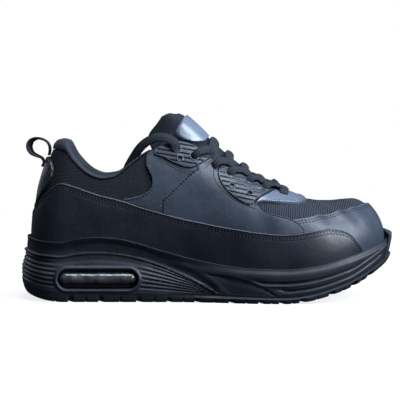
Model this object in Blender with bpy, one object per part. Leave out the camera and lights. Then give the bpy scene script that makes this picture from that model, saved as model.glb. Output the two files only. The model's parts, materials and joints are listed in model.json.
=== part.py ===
"""A low safety sneaker, right foot: toe to +X, outer side to -Y, sole resting on the plane Z = 0.

The whole shoe hangs on one function, upper_point(turn, rise): turn goes once round the shoe, from the
heel (0) along the outer side to the toe tip (0.5) and back along the inner side, and rise goes from the
bottom edge of the upper (0) to the collar, the throat edge or the ridge of the vamp (1).
"""

import math

import bmesh
import bpy
import numpy as np

# Driving sizes, in metres
LENGTH = 0.300
BALL_WIDTH = 0.110
HEEL_WIDTH = 0.080
COLLAR_HEIGHT = 0.126
TOE_HEIGHT = 0.080
RIM_HEIGHT = 0.050
TOE_SPRING = 0.033
FOOTBED_HEIGHT = 0.034
OUTSOLE_LINE = 0.0065
LUG_DEPTH = 0.003
UPPER_WALL = 0.0022
MUDGUARD_THICKNESS = 0.0020
TOE_CAP_THICKNESS = 0.0015
QUARTER_THICKNESS = 0.0012
PLATE_THICKNESS = 0.0026
HEEL_TAB_THICKNESS = 0.0022
INSOLE_THICKNESS = 0.005
BUMPER_THICKNESS = 0.0030
BUMPER_HEIGHT = 0.0550
GAP = 0.0003
CUP_CLEARANCE = MUDGUARD_THICKNESS + 2.3 * GAP
PLATE_STACK = PLATE_THICKNESS + 2.5 * GAP

# Mesh counts
SIDE_COLUMNS = 28
UPPER_ROWS = 8

# Shape of the sole seen from above: share of the length, then the centre as a share of the ball width,
# and the outer and inner half-widths as shares of the width there
PLAN = np.array([
    (0.00, 0.000, 0.500, 0.490),
    (0.13, 0.000, 0.500, 0.488),
    (0.25, 0.000, 0.500, 0.475),
    (0.40, 0.000, 0.505, 0.405),
    (0.55, 0.009, 0.495, 0.400),
    (0.68, 0.027, 0.509, 0.423),
    (0.76, 0.036, 0.527, 0.445),
    (0.85, 0.045, 0.518, 0.455),
    (0.93, 0.059, 0.500, 0.464),
    (1.00, 0.073, 0.473, 0.455),
])
HEEL_ROUND = 0.13
TOE_ROUND = 0.25
ROUND_POWER = 2.3
HEEL_TO_BALL = (0.40, 0.68)

# Heights along the length: share of the length, share of the named height
RIM = np.array([
    (0.00, 1.010), (0.06, 0.958), (0.11, 0.948), (0.16, 1.008), (0.21, 1.032), (0.26, 1.016),
    (0.32, 0.940), (0.38, 0.830), (0.45, 0.710), (0.53, 0.608), (0.61, 0.554), (0.70, 0.540),
    (0.78, 0.588), (0.86, 0.700), (0.92, 0.804), (1.00, 0.960),
])
FOOTBED = np.array([
    (0.00, 1.00), (0.12, 0.97), (0.30, 0.93), (0.45, 0.74), (0.60, 0.575),
    (0.70, 0.545), (0.80, 0.650), (0.90, 0.880), (1.00, 1.150),
])
FLOOR = np.array([
    (0.00, 0.240), (0.02, 0.170), (0.05, 0.085), (0.08, 0.030), (0.12, 0.000), (0.70, 0.000),
    (0.76, 0.060), (0.80, 0.145), (0.84, 0.258), (0.88, 0.394), (0.92, 0.576), (0.96, 0.788), (1.00, 1.000),
])
# The line where outsole and midsole meet: share of the length, height over the floor curve as a share
OUTSOLE = np.array([(0.00, 0.95), (0.10, 1.10), (0.33, 0.95), (0.53, 0.85), (0.70, 0.75), (0.85, 0.80), (1.00, 0.80)])

# Inset of the upper's bottom edge from the sole's outline: share of the length, share of the ball width
INSET = np.array([
    (0.00, 0.100), (0.10, 0.082), (0.30, 0.073), (0.50, 0.073), (0.65, 0.077), (0.80, 0.077),
    (0.90, 0.082), (1.00, 0.091),
])

# Top line of the upper: place along the side; share of the length from the heel; centre and half-width
# as shares of the heel width; height as a share of the collar height plus a share of the toe height
TOP = np.array([
    (0.00, 0.0953, 0.000, 0.000, 1.000, 0.000),
    (0.06, 0.0967, 0.000, 0.105, 1.004, 0.000),
    (0.12, 0.1050, 0.000, 0.205, 1.008, 0.000),
    (0.18, 0.1250, 0.000, 0.295, 0.996, 0.000),
    (0.24, 0.1517, 0.000, 0.356, 0.900, 0.000),
    (0.30, 0.1933, 0.000, 0.398, 0.806, 0.000),
    (0.33, 0.2230, 0.000, 0.409, 0.783, 0.000),
    (0.36, 0.2533, 0.000, 0.415, 0.792, 0.000),
    (0.39, 0.2780, 0.000, 0.413, 0.828, 0.000),
    (0.42, 0.3000, 0.000, 0.408, 0.872, 0.000),
    (0.48, 0.3567, 0.000, 0.366, 0.955, 0.000),
    (0.53, 0.4217, 0.000, 0.310, 1.004, 0.000),
    (0.58, 0.4867, 0.000, 0.275, 0.750, 0.313),
    (0.63, 0.5667, 0.000, 0.244, 0.450, 0.579),
    (0.68, 0.6550, 0.000, 0.194, 0.200, 0.800),
    (0.72, 0.7000, 0.004, 0.112, 0.080, 0.924),
    (0.75, 0.7217, 0.006, 0.000, 0.030, 0.990),
    (0.80, 0.7633, 0.012, 0.000, 0.000, 0.995),
    (0.85, 0.8000, 0.018, 0.000, 0.000, 0.980),
    (0.90, 0.8333, 0.025, 0.000, 0.000, 0.981),
    (0.95, 0.8650, 0.031, 0.000, 0.000, 0.994),
    (1.00, 0.8933, 0.038, 0.000, 0.000, 1.000),
])
THROAT_BASE = 0.75

# Fullness of the wall between bottom and top: place along the side; how far the lower and the upper
# handle lean out, as shares of the ball width, and how far they rise, as shares of the collar height
FULLNESS = np.array([
    (0.00, 0.045, 0.254, 0.087, -0.159),
    (0.12, 0.045, 0.254, 0.073, -0.159),
    (0.24, 0.050, 0.222, 0.055, -0.143),
    (0.30, 0.055, 0.206, 0.045, -0.127),
    (0.36, 0.059, 0.206, 0.045, -0.127),
    (0.42, 0.064, 0.238, 0.064, -0.175),
    (0.48, 0.073, 0.270, 0.100, -0.222),
    (0.53, 0.077, 0.302, 0.136, -0.222),
    (0.58, 0.082, 0.317, 0.173, -0.175),
    (0.63, 0.082, 0.317, 0.209, -0.095),
    (0.68, 0.082, 0.310, 0.236, -0.048),
    (0.75, 0.082, 0.294, 0.291, 0.000),
    (0.85, 0.077, 0.262, 0.255, 0.000),
    (0.92, 0.073, 0.190, 0.182, 0.000),
    (1.00, 0.068, 0.145, 0.136, 0.000),
])
# How much of the rise the padded collar takes from the wall's top: place along the side, share of rise
COLLAR_DROP = np.array([
    (0.00, 0.100), (0.12, 0.110), (0.20, 0.110), (0.26, 0.080), (0.32, 0.050), (0.38, 0.035), (0.44, 0.020),
    (0.48, 0.000), (1.00, 0.000),
])

# The sole's side wall: share of its height, then how far out it lies at the heel and at the forefoot,
# as shares of the wall relief
WALL_RELIEF = 0.005
WALL = np.array([
    (0.00, -0.10, -0.60), (0.05, -0.05, -0.50), (0.30, 0.00, -0.30), (0.50, -0.32, -0.16), (0.64, -0.60, -0.06),
    (0.75, -0.56, 0.00), (0.90, -0.70, -0.06), (1.00, -1.00, -0.30),
])
# Where the ribbed lower part of the heel's side ends: share of the length, share of the wall's height
STEP = np.array([
    (0.00, 0.70), (0.10, 0.71), (0.20, 0.72), (0.30, 0.71), (0.37, 0.65), (0.42, 0.55), (0.473, 0.37),
    (0.509, 0.17), (0.53, 0.02), (0.56, 0.00), (1.00, 0.00),
])
RIB_COUNT = 5
RIB_DEPTH = 0.0008
RIM_THICKNESS = 0.0026
# Rows above the step: share of the height left, and depth of the forefoot's two grooves in millimetres
BAND_ROWS = ((0.04, 0.0), (0.25, 0.0), (0.29, 1.2), (0.33, 0.0), (0.50, 0.0), (0.54, 1.4), (0.58, 0.0), (0.80, 0.0),
             (1.00, 0.0))
WINDOW = {"centre": (-0.0865, 0.0182), "length": 0.0636, "height": 0.0157, "depth": 0.0090}
AIR_CELL_RADIUS = 0.0045
# Grooves across the tread, each by the x of its centre, and the two that run along it, by share of the width
TREAD_GROOVES = (-0.108, -0.084, -0.054, -0.030, -0.008, 0.019, 0.042, 0.058, 0.074, 0.097, 0.1145)
TREAD_GROOVE_WIDTH = 0.004
TREAD_CHANNELS = (0.37, 0.63)
TREAD_CHANNEL_WIDTH = 0.05
TREAD_EDGE = 0.0035

# Panels: place and rise on the lower edge, then place and rise on the upper edge
MUDGUARD = np.array([
    (0.000, 0.03, 0.000, 0.335), (0.036, 0.03, 0.036, 0.355), (0.071, 0.03, 0.071, 0.395), (0.107, 0.03, 0.107, 0.446),
    (0.143, 0.03, 0.143, 0.515), (0.179, 0.03, 0.179, 0.595), (0.214, 0.03, 0.214, 0.632), (0.250, 0.03, 0.250, 0.690),
    (0.286, 0.03, 0.286, 0.752), (0.321, 0.03, 0.321, 0.732), (0.357, 0.03, 0.357, 0.678), (0.393, 0.03, 0.393, 0.605),
    (0.429, 0.03, 0.429, 0.530), (0.464, 0.03, 0.464, 0.468), (0.500, 0.03, 0.500, 0.388), (0.536, 0.03, 0.536, 0.357),
    (0.571, 0.03, 0.571, 0.338), (0.607, 0.03, 0.607, 0.325), (0.643, 0.03, 0.643, 0.332), (0.679, 0.03, 0.679, 0.352),
    (0.714, 0.03, 0.714, 0.361), (0.750, 0.03, 0.750, 0.362), (0.768, 0.03, 0.768, 0.348), (0.786, 0.03, 0.786, 0.300),
    (0.800, 0.03, 0.800, 0.225), (0.812, 0.03, 0.812, 0.155), (0.821, 0.03, 0.821, 0.105),
])
TOE_CAP = np.array([
    (0.694, 0.366, 0.694, 0.495), (0.714, 0.369, 0.714, 0.511), (0.732, 0.371, 0.732, 0.520),
    (0.750, 0.370, 0.750, 0.527), (0.768, 0.357, 0.768, 0.543), (0.786, 0.309, 0.786, 0.560),
    (0.803, 0.218, 0.803, 0.577), (0.8214, 0.120, 0.8214, 0.593), (0.832, 0.030, 0.832, 0.600),
    (0.857, 0.030, 0.857, 0.617), (0.893, 0.030, 0.893, 0.640), (0.929, 0.030, 0.929, 0.664),
    (0.964, 0.030, 0.964, 0.695), (1.000, 0.030, 1.000, 0.738),
])
QUARTER = np.array([
    (0.378, 0.650, 0.378, 0.662), (0.393, 0.613, 0.393, 0.650), (0.411, 0.574, 0.411, 0.643),
    (0.429, 0.538, 0.429, 0.652), (0.446, 0.506, 0.446, 0.680), (0.457, 0.487, 0.457, 0.735),
    (0.464, 0.476, 0.464, 0.985), (0.479, 0.444, 0.479, 0.985), (0.482, 0.438, 0.482, 0.938),
    (0.500, 0.396, 0.500, 0.870), (0.518, 0.381, 0.518, 0.796), (0.536, 0.365, 0.536, 0.758),
    (0.554, 0.355, 0.554, 0.768), (0.571, 0.346, 0.571, 0.800), (0.585, 0.340, 0.585, 0.790),
    (0.597, 0.335, 0.597, 0.690), (0.6071, 0.333, 0.6071, 0.572),
    (0.625, 0.336, 0.625, 0.520), (0.643, 0.340, 0.643, 0.507), (0.661, 0.350, 0.661, 0.498),
    (0.679, 0.360, 0.679, 0.478), (0.690, 0.365, 0.690, 0.412),
])
PLATE_UPPER = np.array([
    (0.484, 0.945, 0.484, 0.985), (0.492, 0.912, 0.492, 0.985), (0.502, 0.874, 0.502, 0.985),
    (0.520, 0.802, 0.520, 0.985), (0.536, 0.768, 0.536, 0.985), (0.554, 0.778, 0.554, 0.980),
    (0.571, 0.818, 0.571, 0.975), (0.582, 0.868, 0.582, 0.972), (0.592, 0.935, 0.592, 0.968),
])
PLATE_LOWER = np.array([
    (0.616, 0.558, 0.629, 0.563), (0.609, 0.588, 0.639, 0.600), (0.607, 0.637, 0.650, 0.650),
    (0.606, 0.700, 0.660, 0.705), (0.606, 0.775, 0.671, 0.770), (0.608, 0.860, 0.684, 0.855),
    (0.612, 0.930, 0.694, 0.930), (0.617, 0.972, 0.702, 0.972),
])
THROAT_PIECE = np.array([
    (0.633, 0.568, 0.636, 0.580), (0.645, 0.612, 0.653, 0.645), (0.660, 0.645, 0.676, 0.770),
    (0.677, 0.667, 0.690, 0.865), (0.700, 0.686, 0.706, 0.962), (0.722, 0.697, 0.722, 0.970),
    (0.742, 0.725, 0.738, 0.970), (0.760, 0.790, 0.750, 0.980), (0.775, 0.890, 0.755, 0.990),
    (0.788, 1.000, 0.757, 1.000),
])
HEEL_TAB = np.array([
    (0.000, 0.415, 0.000, 0.815), (0.036, 0.438, 0.036, 0.813), (0.071, 0.485, 0.071, 0.803),
    (0.100, 0.530, 0.100, 0.792), (0.121, 0.567, 0.121, 0.772), (0.136, 0.603, 0.136, 0.738),
    (0.145, 0.645, 0.145, 0.700),
])

# The tongue's outside down its middle: station, share of the length, share of the collar height, half-width
# as a share of the heel width, then as shares of the collar height the drop of its edges, its thickness, and
# how far the wings at its edges reach back and up
TONGUE = np.array([
    (0.00, 0.4217, 1.190, 0.300, 0.127, 0.044, 0.000, 0.112),
    (0.10, 0.4483, 1.143, 0.281, 0.131, 0.056, 0.110, 0.070),
    (0.20, 0.4783, 1.079, 0.258, 0.131, 0.056, 0.230, 0.026),
    (0.30, 0.5100, 1.002, 0.250, 0.131, 0.052, 0.250, 0.000),
    (0.36, 0.5340, 0.951, 0.270, 0.142, 0.050, 0.130, 0.000),
    (0.42, 0.5583, 0.902, 0.300, 0.151, 0.048, 0.000, 0.000),
    (0.54, 0.6083, 0.808, 0.325, 0.151, 0.040, 0.000, 0.000),
    (0.66, 0.6550, 0.730, 0.325, 0.135, 0.036, 0.000, 0.000),
    (0.78, 0.7017, 0.658, 0.325, 0.120, 0.034, 0.000, 0.000),
    (0.85, 0.7250, 0.626, 0.313, 0.111, 0.032, 0.000, 0.000),
    (0.92, 0.7567, 0.604, 0.288, 0.095, 0.028, 0.000, 0.000),
    (1.00, 0.7933, 0.592, 0.250, 0.071, 0.024, 0.000, 0.000),
])
TONGUE_BEND = 1.7
WING_BEND = 6.0
WING_LIFT_BEND = 2.0

# Eyelets from the collar down: place and rise on the upper, and the place where the lace crosses its edge
EYELETS = np.array([
    (0.527, 0.925, 0.548), (0.560, 0.875, 0.590), (0.595, 0.862, 0.618), (0.618, 0.854, 0.641),
    (0.650, 0.896, 0.664), (0.672, 0.875, 0.688), (0.705, 0.846, 0.722),
])
# A crossing's two strands: share of the way across the throat, height of the band's middle over the tongue
LACE_LIFTS_TOP = ((0.12, 0.0078), (0.24, 0.0056), (0.36, 0.0038), (0.50, 0.0032), (0.64, 0.0027), (0.76, 0.0019),
                  (1.00, 0.0017))
LACE_LIFTS_BOTTOM = ((0.12, 0.0076), (0.24, 0.0050), (0.36, 0.0030), (0.50, 0.0020), (0.76, 0.0018), (1.00, 0.0017))
LACE_END_INSET = 0.0042
# Extra height where a strand comes off its plate, for each eyelet from the collar down
LACE_START_LIFT = (0.0, 0.0016, 0.0014, 0.0013, 0.0014, 0.0054)
LACE_WIDTH = 0.0066
LACE_THICKNESS = 0.0018

# Padded collar: the roll's section from its outer seam over the top and down inside, as shares of its depth
# (out, up) from the top line
COLLAR_DEPTH = 0.0090
COLLAR_SIZE = np.array([
    (0.00, 1.00), (0.20, 1.00), (0.30, 0.90), (0.36, 0.85), (0.42, 0.80), (0.464, 0.60), (1.00, 0.50),
])
COLLAR_SECTION = ((-0.10, 0.08), (-0.45, 0.12), (-0.82, -0.10), (-1.00, -0.60), (-1.02, -1.20), (-0.88, -1.75),
                  (-0.60, -2.05))
# The pull loop's centre line at the heel, from the collar's top round to the heel tab: x and z in metres, and
# how far the band is twisted there, in degrees
PULL_LOOP = (
    (-0.1277, 0.1148, 0), (-0.1272, 0.1175, 0), (-0.1270, 0.1206, 0), (-0.1288, 0.1250, 2), (-0.1330, 0.1277, 3),
    (-0.1380, 0.1283, 6), (-0.1423, 0.1260, 14), (-0.1437, 0.1216, 18), (-0.1418, 0.1170, 11), (-0.1370, 0.1142, 3),
    (-0.1336, 0.1126, 0), (-0.1318, 0.1094, 0), (-0.1333, 0.1058, 0),
)
PULL_LOOP_WIDTH = 0.012
PULL_LOOP_THICKNESS = 0.0016
# The free end of the lace, from the top outer eyelet back over the collar and down inside
LACE_END = ((-0.0250, -0.0322, 0.1206), (-0.0262, -0.0322, 0.1252), (-0.0320, -0.0312, 0.1290),
            (-0.0400, -0.0290, 0.1294), (-0.0470, -0.0270, 0.1268), (-0.0533, -0.0245, 0.1215),
            (-0.0585, -0.0212, 0.1140), (-0.0630, -0.0190, 0.1060), (-0.0660, -0.0178, 0.0970),
            (-0.0665, -0.0172, 0.0880))


def smooth(table, column, at):
    """A smooth curve through one column of a table, which never overshoots its rows."""
    keys, values = table[:, 0], table[:, column]
    steps, secants = np.diff(keys), np.diff(values) / np.diff(keys)
    slopes = np.empty_like(values)
    slopes[0], slopes[-1] = secants[0], secants[-1]
    before, after = secants[:-1], secants[1:]
    same = before * after > 0
    mean = np.where(same, 2 * before * after / np.where(same, before + after, 1), 0)
    slopes[1:-1] = mean
    at = np.clip(at, keys[0], keys[-1])
    i = np.clip(np.searchsorted(keys, at) - 1, 0, len(steps) - 1)
    t = (at - keys[i]) / steps[i]
    return (
        (2 * t**3 - 3 * t**2 + 1) * values[i]
        + (t**3 - 2 * t**2 + t) * steps[i] * slopes[i]
        + (3 * t**2 - 2 * t**3) * values[i + 1]
        + (t**3 - t**2) * steps[i] * slopes[i + 1]
    )


def ease(low, high, at):
    """0 below low, 1 above high, and a soft change between them."""
    t = np.clip((np.asarray(at, float) - low) / (high - low), 0, 1)
    return t * t * (3 - 2 * t)


def fold(turn):
    """The side, -1 outer or +1 inner, and the place along it, 0 at the heel and 1 at the toe tip."""
    turn = np.mod(turn, 1.0)
    outer = turn <= 0.5
    return np.where(outer, -1.0, 1.0), np.where(outer, 2 * turn, 2 - 2 * turn)


def length_share(place):
    """Share of the length that belongs to a place along the side. Places crowd towards heel and toe."""
    return (1 - np.cos(math.pi * place)) / 2


def share_at(x):
    return x / LENGTH + 0.5


def outline_point(turn):
    side, place = fold(turn)
    share = length_share(place)
    width = HEEL_WIDTH + (BALL_WIDTH - HEEL_WIDTH) * ease(*HEEL_TO_BALL, share)
    half = width * np.where(side < 0, smooth(PLAN, 2, share), smooth(PLAN, 3, share))
    heel = np.clip((HEEL_ROUND - share) / HEEL_ROUND, 0, 1)
    toe = np.clip((share - 1 + TOE_ROUND) / TOE_ROUND, 0, 1)
    rounding = (1 - np.maximum(heel, toe) ** ROUND_POWER) ** (1 / ROUND_POWER)
    centre = BALL_WIDTH * smooth(PLAN, 1, share)
    return np.stack([(share - 0.5) * LENGTH, centre + side * half * rounding], -1)


def outline_normal(turn):
    step = 0.004
    along = outline_point(turn + step) - outline_point(turn - step)
    out = np.stack([along[..., 1], -along[..., 0]], -1)
    return out / np.linalg.norm(out, axis=-1, keepdims=True)


def outline(turn, out=0.0):
    """The sole's outline seen from above, moved outwards by out."""
    return outline_point(turn) + outline_normal(turn) * np.asarray(out)[..., None]


def rim_height(share):
    return RIM_HEIGHT * smooth(RIM, 1, share)


def footbed_height(share):
    return FOOTBED_HEIGHT * smooth(FOOTBED, 1, share)


def floor_height(share):
    return TOE_SPRING * smooth(FLOOR, 1, share)


def outsole_height(share):
    return floor_height(share) + OUTSOLE_LINE * smooth(OUTSOLE, 1, share)


def top_point(turn):
    """The upper's top line: collar, throat edge, then the ridge of the vamp, which both sides share."""
    side, place = fold(turn)
    x = (smooth(TOP, 1, place) - 0.5) * LENGTH
    y = HEEL_WIDTH * (smooth(TOP, 2, place) + side * smooth(TOP, 3, place))
    z = COLLAR_HEIGHT * smooth(TOP, 4, place) + TOE_HEIGHT * smooth(TOP, 5, place)
    return np.stack([x, y, z], -1)


def ridge_slope(place):
    step = 0.01
    ahead, behind = top_point((place + step) / 2), top_point((place - step) / 2)
    slope = (ahead - behind)[..., 2] / np.maximum((ahead - behind)[..., 0], 1e-4)
    return slope * ease(THROAT_BASE - 0.05, THROAT_BASE, place)


def upper_point(turn, rise):
    """A point on the outside of the bare upper."""
    turn, rise = np.broadcast_arrays(np.asarray(turn, float), np.asarray(rise, float))
    side, place = fold(turn)
    share = length_share(place)
    inset = BALL_WIDTH * smooth(INSET, 1, share)
    foot = outline(turn, -inset)
    bottom = np.concatenate([foot, footbed_height(share_at(foot[..., :1]))], -1)
    top = top_point(turn)
    out = outline_normal(turn)
    lower_out, upper_out = BALL_WIDTH * smooth(FULLNESS, 1, place), BALL_WIDTH * smooth(FULLNESS, 3, place)
    lower_up, upper_up = COLLAR_HEIGHT * smooth(FULLNESS, 2, place), COLLAR_HEIGHT * smooth(FULLNESS, 4, place)
    upper_up = upper_up + ridge_slope(np.minimum(place, 0.985)) * out[..., 0] * upper_out
    lower = bottom + np.concatenate([out * lower_out[..., None], lower_up[..., None]], -1)
    upper = top + np.concatenate([out * upper_out[..., None], upper_up[..., None]], -1)
    t = rise[..., None]
    return bottom * (1 - t) ** 3 + lower * 3 * t * (1 - t) ** 2 + upper * 3 * t**2 * (1 - t) + top * t**3


def upper_normal(turn, rise):
    """The outward direction of the upper at a point."""
    turn, rise = np.broadcast_arrays(np.asarray(turn, float), np.asarray(rise, float))
    ridge = (rise > 0.985) & (fold(turn)[1] >= THROAT_BASE - 1e-6)
    level = np.clip(rise, 0.004, np.where(ridge, 0.97, 0.996))

    def one_side(at):
        round_step, rise_step = 0.003, 0.004
        around = upper_point(at + round_step, level) - upper_point(at - round_step, level)
        up = upper_point(at, level + rise_step) - upper_point(at, level - rise_step)
        normal = np.cross(around, up)
        return normal / np.linalg.norm(normal, axis=-1, keepdims=True)

    normal = one_side(turn)
    both = normal + one_side(1 - turn)
    both = both / np.maximum(np.linalg.norm(both, axis=-1, keepdims=True), 1e-9)
    return np.where(ridge[..., None], both, normal)


def surface(turn, rise, out=0.0):
    """A point at a distance out from the upper's outside; a negative distance goes into its wall."""
    return upper_point(turn, rise) + upper_normal(turn, rise) * np.asarray(out)[..., None]


def facet_surface(turn, rise, out):
    """A point at a distance out from the flat faces the upper is made of."""
    count = 2 * SIDE_COLUMNS
    column = np.floor(np.mod(turn, 1.0) * count + 1e-6)
    mix = np.clip(np.mod(turn, 1.0) * count - column, 0, 1)[..., None]
    face = []
    for k in (column, column + 1):
        at = np.mod(k, count) / count
        step = wall_top(fold(at)[1]) / UPPER_ROWS
        row = np.clip(np.floor(rise / step + 1e-6), 0, UPPER_ROWS - 1)
        share = (rise / step - row)[..., None]
        face.append(surface(at, row * step, out) * (1 - share) + surface(at, (row + 1) * step, out) * share)
    return face[0] * (1 - mix) + face[1] * mix


def over_surface(turn, rise, out):
    """Like surface, but never inside the flat faces the upper is made of."""
    point, normal = surface(turn, rise, out), upper_normal(turn, rise)
    lift = np.sum((facet_surface(turn, rise, out) - point) * normal, -1, keepdims=True)
    return point + normal * np.clip(lift, 0, 0.0015)


def rise_at(turns, heights):
    """How far up the upper each height lies, at each turn."""
    levels = np.linspace(0, 0.6, 61)
    found = upper_point(turns[:, None], levels[None, :])[..., 2]
    return np.array([np.interp(h, row, levels) for h, row in zip(heights, found)])


def wall_top(place):
    return 1 - smooth(COLLAR_DROP, 1, place)


def columns():
    """The turns of the upper's own columns, once round from the heel."""
    return np.arange(2 * SIDE_COLUMNS) / (2 * SIDE_COLUMNS)


def material(name, colour, roughness, metallic=0.0):
    made = bpy.data.materials.new(name)
    made.use_nodes = True
    shader = made.node_tree.nodes["Principled BSDF"]
    shader.inputs["Base Color"].default_value = (*colour, 1)
    shader.inputs["Roughness"].default_value = roughness
    shader.inputs["Metallic"].default_value = metallic
    return made


def add_mesh(name, points, faces, look, part):
    """A named object from points and faces, with equal points made one and its faces turned outwards."""
    mesh = bpy.data.meshes.new(name)
    mesh.from_pydata([tuple(float(c) for c in p) for p in points], [], faces)
    work = bmesh.new()
    work.from_mesh(mesh)
    bmesh.ops.remove_doubles(work, verts=work.verts, dist=1e-6)
    bmesh.ops.recalc_face_normals(work, faces=work.faces)
    work.to_mesh(mesh)
    work.free()
    if look is not None:
        mesh.materials.append(look)
    mesh.shade_smooth()
    mesh.set_sharp_from_angle(angle=math.radians(40))
    made = bpy.data.objects.new(name, mesh)
    part.objects.link(made)
    return made


def ring_add(points, faces, ring, last):
    """Adds a ring of points and joins it to the last ring, given by the number of its first point."""
    start, count = len(points), len(ring)
    points.extend(ring)
    if last is not None:
        for i in range(count):
            k = (i + 1) % count
            faces.append((last + i, last + k, start + k, start + i))
    return start


def deck_faces(start, side_count):
    """Faces across a ring, from each point of the outer side to the inner side's point opposite."""
    faces = []
    for i in range(side_count):
        other, after = (2 * side_count - i) % (2 * side_count), 2 * side_count - i - 1
        corners = [start + i, start + i + 1, start + after, start + other]
        faces.append(tuple(dict.fromkeys(corners)))
    return faces


def sheet_faces(rows, across, start, wrap=False):
    """Quads of a grid of points, rows by across, numbered from start. wrap joins the last row to the first."""
    faces = []
    for i in range(rows if wrap else rows - 1):
        k = (i + 1) % rows
        for j in range(across - 1):
            faces.append((
                start + i * across + j, start + k * across + j,
                start + k * across + j + 1, start + i * across + j + 1,
            ))
    return faces


def split(points, faces, outward):
    """Cuts each four-cornered face along the diagonal that bulges out (1) or lies deeper (-1)."""
    cut = []
    for a, b, c, d in faces:
        pa, pb, pc, pd = (points[k] for k in (a, b, c, d))
        bulge = np.dot((pb + pd) - (pa + pc), np.cross(pc - pa, pd - pb)) * outward
        cut += [(a, b, d), (b, c, d)] if bulge > 0 else [(a, b, c), (a, c, d)]
    return cut


def slab(name, outer, inner, look, part):
    """A closed slab between two grids of points of the same size."""
    rows, across = outer.shape[:2]
    shift = rows * across
    points = np.concatenate([outer.reshape(-1, 3), inner.reshape(-1, 3)])
    faces = split(points, sheet_faces(rows, across, 0), 1)
    faces += [f[::-1] for f in split(points, sheet_faces(rows, across, shift), 1)]
    rim = (
        [i * across for i in range(rows)]
        + [(rows - 1) * across + j for j in range(1, across)]
        + [i * across + across - 1 for i in range(rows - 2, -1, -1)]
        + [j for j in range(across - 2, 0, -1)]
    )
    for a, b in zip(rim, rim[1:] + rim[:1]):
        faces.append((b, a, a + shift, b + shift))
    return add_mesh(name, points, faces, look, part)


def make_upper(look, part):
    """The hollow upper: one wall, open at the collar, along the throat and underneath."""
    turns = columns()
    _, places = fold(turns)
    share = np.linspace(0, 1, UPPER_ROWS + 1)
    rises = wall_top(places)[:, None] * share[None, :]
    outer = surface(turns[:, None], rises)
    inner = surface(turns[:, None], rises, np.full(rises.shape, -UPPER_WALL))
    rows, across = outer.shape[:2]
    shift = rows * across
    points = np.concatenate([outer.reshape(-1, 3), inner.reshape(-1, 3)])
    faces = []
    for start, outward, turn_round in ((0, -1, 1), (shift, 1, -1)):
        sheet = sheet_faces(rows, across, start, wrap=True)
        # The two faces at the ridge's end share an edge with each other, so they are cut along the other diagonal
        tip = [f for f in sheet if start + SIDE_COLUMNS * across + across - 1 in f]
        cut = split(points, [f for f in sheet if f not in tip], outward)
        for f in tip:
            k = f.index(start + SIDE_COLUMNS * across + across - 1)
            a, b, c, d = f[k:] + f[:k]
            cut += [(a, b, c), (a, c, d)]
        faces += [f[::turn_round] for f in cut]
    for i in range(rows):
        k = (i + 1) % rows
        bottom, after = i * across, k * across
        faces.append((after, bottom, bottom + shift, after + shift))
        if min(places[i], places[k]) < THROAT_BASE - 1e-6:
            top, after = i * across + across - 1, k * across + across - 1
            faces.append((top, after, after + shift, top + shift))
    return add_mesh("upper", points, faces, look, part)


def sole_side(turn, level):
    """A point on the midsole's side wall, from the outsole's line (0) to its rim (1)."""
    turn, level = np.broadcast_arrays(np.asarray(turn, float), np.asarray(level, float))
    _, place = fold(turn)
    share = length_share(place)
    forefoot = ease(0.35, 0.58, share)
    relief = smooth(WALL, 1, level) * (1 - forefoot) + smooth(WALL, 2, level) * forefoot
    toe = ease(0.80, 0.857, place)
    out = WALL_RELIEF * relief - toe * (BUMPER_THICKNESS + GAP)
    flat = outline(turn, out)
    rim = rim_height(share)
    edge = rim_point(turn)
    blend = ease(0.80, 1.0, level)[..., None]
    flat = flat * (1 - blend) + edge[..., :2] * blend
    low = outsole_height(share_at(flat[..., 0])) + GAP
    return np.concatenate([flat, (low + (rim - low) * level)[..., None]], -1)


def rim_point(turn):
    """The outer edge of the midsole's rim, which stands a set distance outside the upper."""
    _, place = fold(turn)
    flat_turn = np.ravel(turn)
    height = np.ravel(rim_height(length_share(place)))
    rise = rise_at(flat_turn, height)
    point = surface(flat_turn, rise, np.full(rise.shape, CUP_CLEARANCE + RIM_THICKNESS))
    point[:, 2] = height
    return point.reshape(np.shape(turn) + (3,))


def step_share(share):
    return smooth(STEP, 1, share)


def make_midsole(look, part, cutters):
    turns = columns()
    _, place = fold(turns)
    share = length_share(place)
    step = step_share(share)
    points, faces, last = [], [], None
    normals = outline_normal(turns)
    ribs = 2 * RIB_COUNT
    for i in range(ribs + 1):
        level = step * i / ribs
        ring = sole_side(turns, level)
        fade = ease(0.0, 0.2, step)
        depth = RIB_DEPTH * fade * (1 if i % 2 else 0) if 0 < i < ribs else 0 * fade
        depth = 0.0010 * fade if i == ribs else depth
        ring[:, :2] -= normals * np.asarray(depth)[:, None]
        last = ring_add(points, faces, list(ring), last)
    for level, groove in BAND_ROWS:
        ring = sole_side(turns, step + (1 - step) * level)
        depth = 0.001 * groove * ease(0.60, 0.68, share) * (1 - ease(0.93, 0.97, share))
        ring[:, :2] -= normals * depth[:, None]
        last = ring_add(points, faces, list(ring), last)
    rim = rim_height(share)
    rise = rise_at(turns, rim)
    for fraction in (1.0, 0.66, 0.33, 0.0):
        ring = surface(turns, rise * fraction, np.full(rise.shape, CUP_CLEARANCE))
        if fraction == 1.0:
            ring[:, 2] = rim
        if fraction == 0.0:
            ring[:, 2] = footbed_height(share_at(ring[:, 0])) - GAP
        last = ring_add(points, faces, list(ring), last)
    faces += deck_faces(last, SIDE_COLUMNS)
    faces += deck_faces(0, SIDE_COLUMNS)
    made = add_mesh("midsole", points, faces, look, part)
    for side in (-1, 1):
        cutter = make_window_cutter(side, cutters)
        cut = made.modifiers.new("window", "BOOLEAN")
        cut.operation = "DIFFERENCE"
        cut.solver = "EXACT"
        cut.object = cutter
    return made


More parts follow.
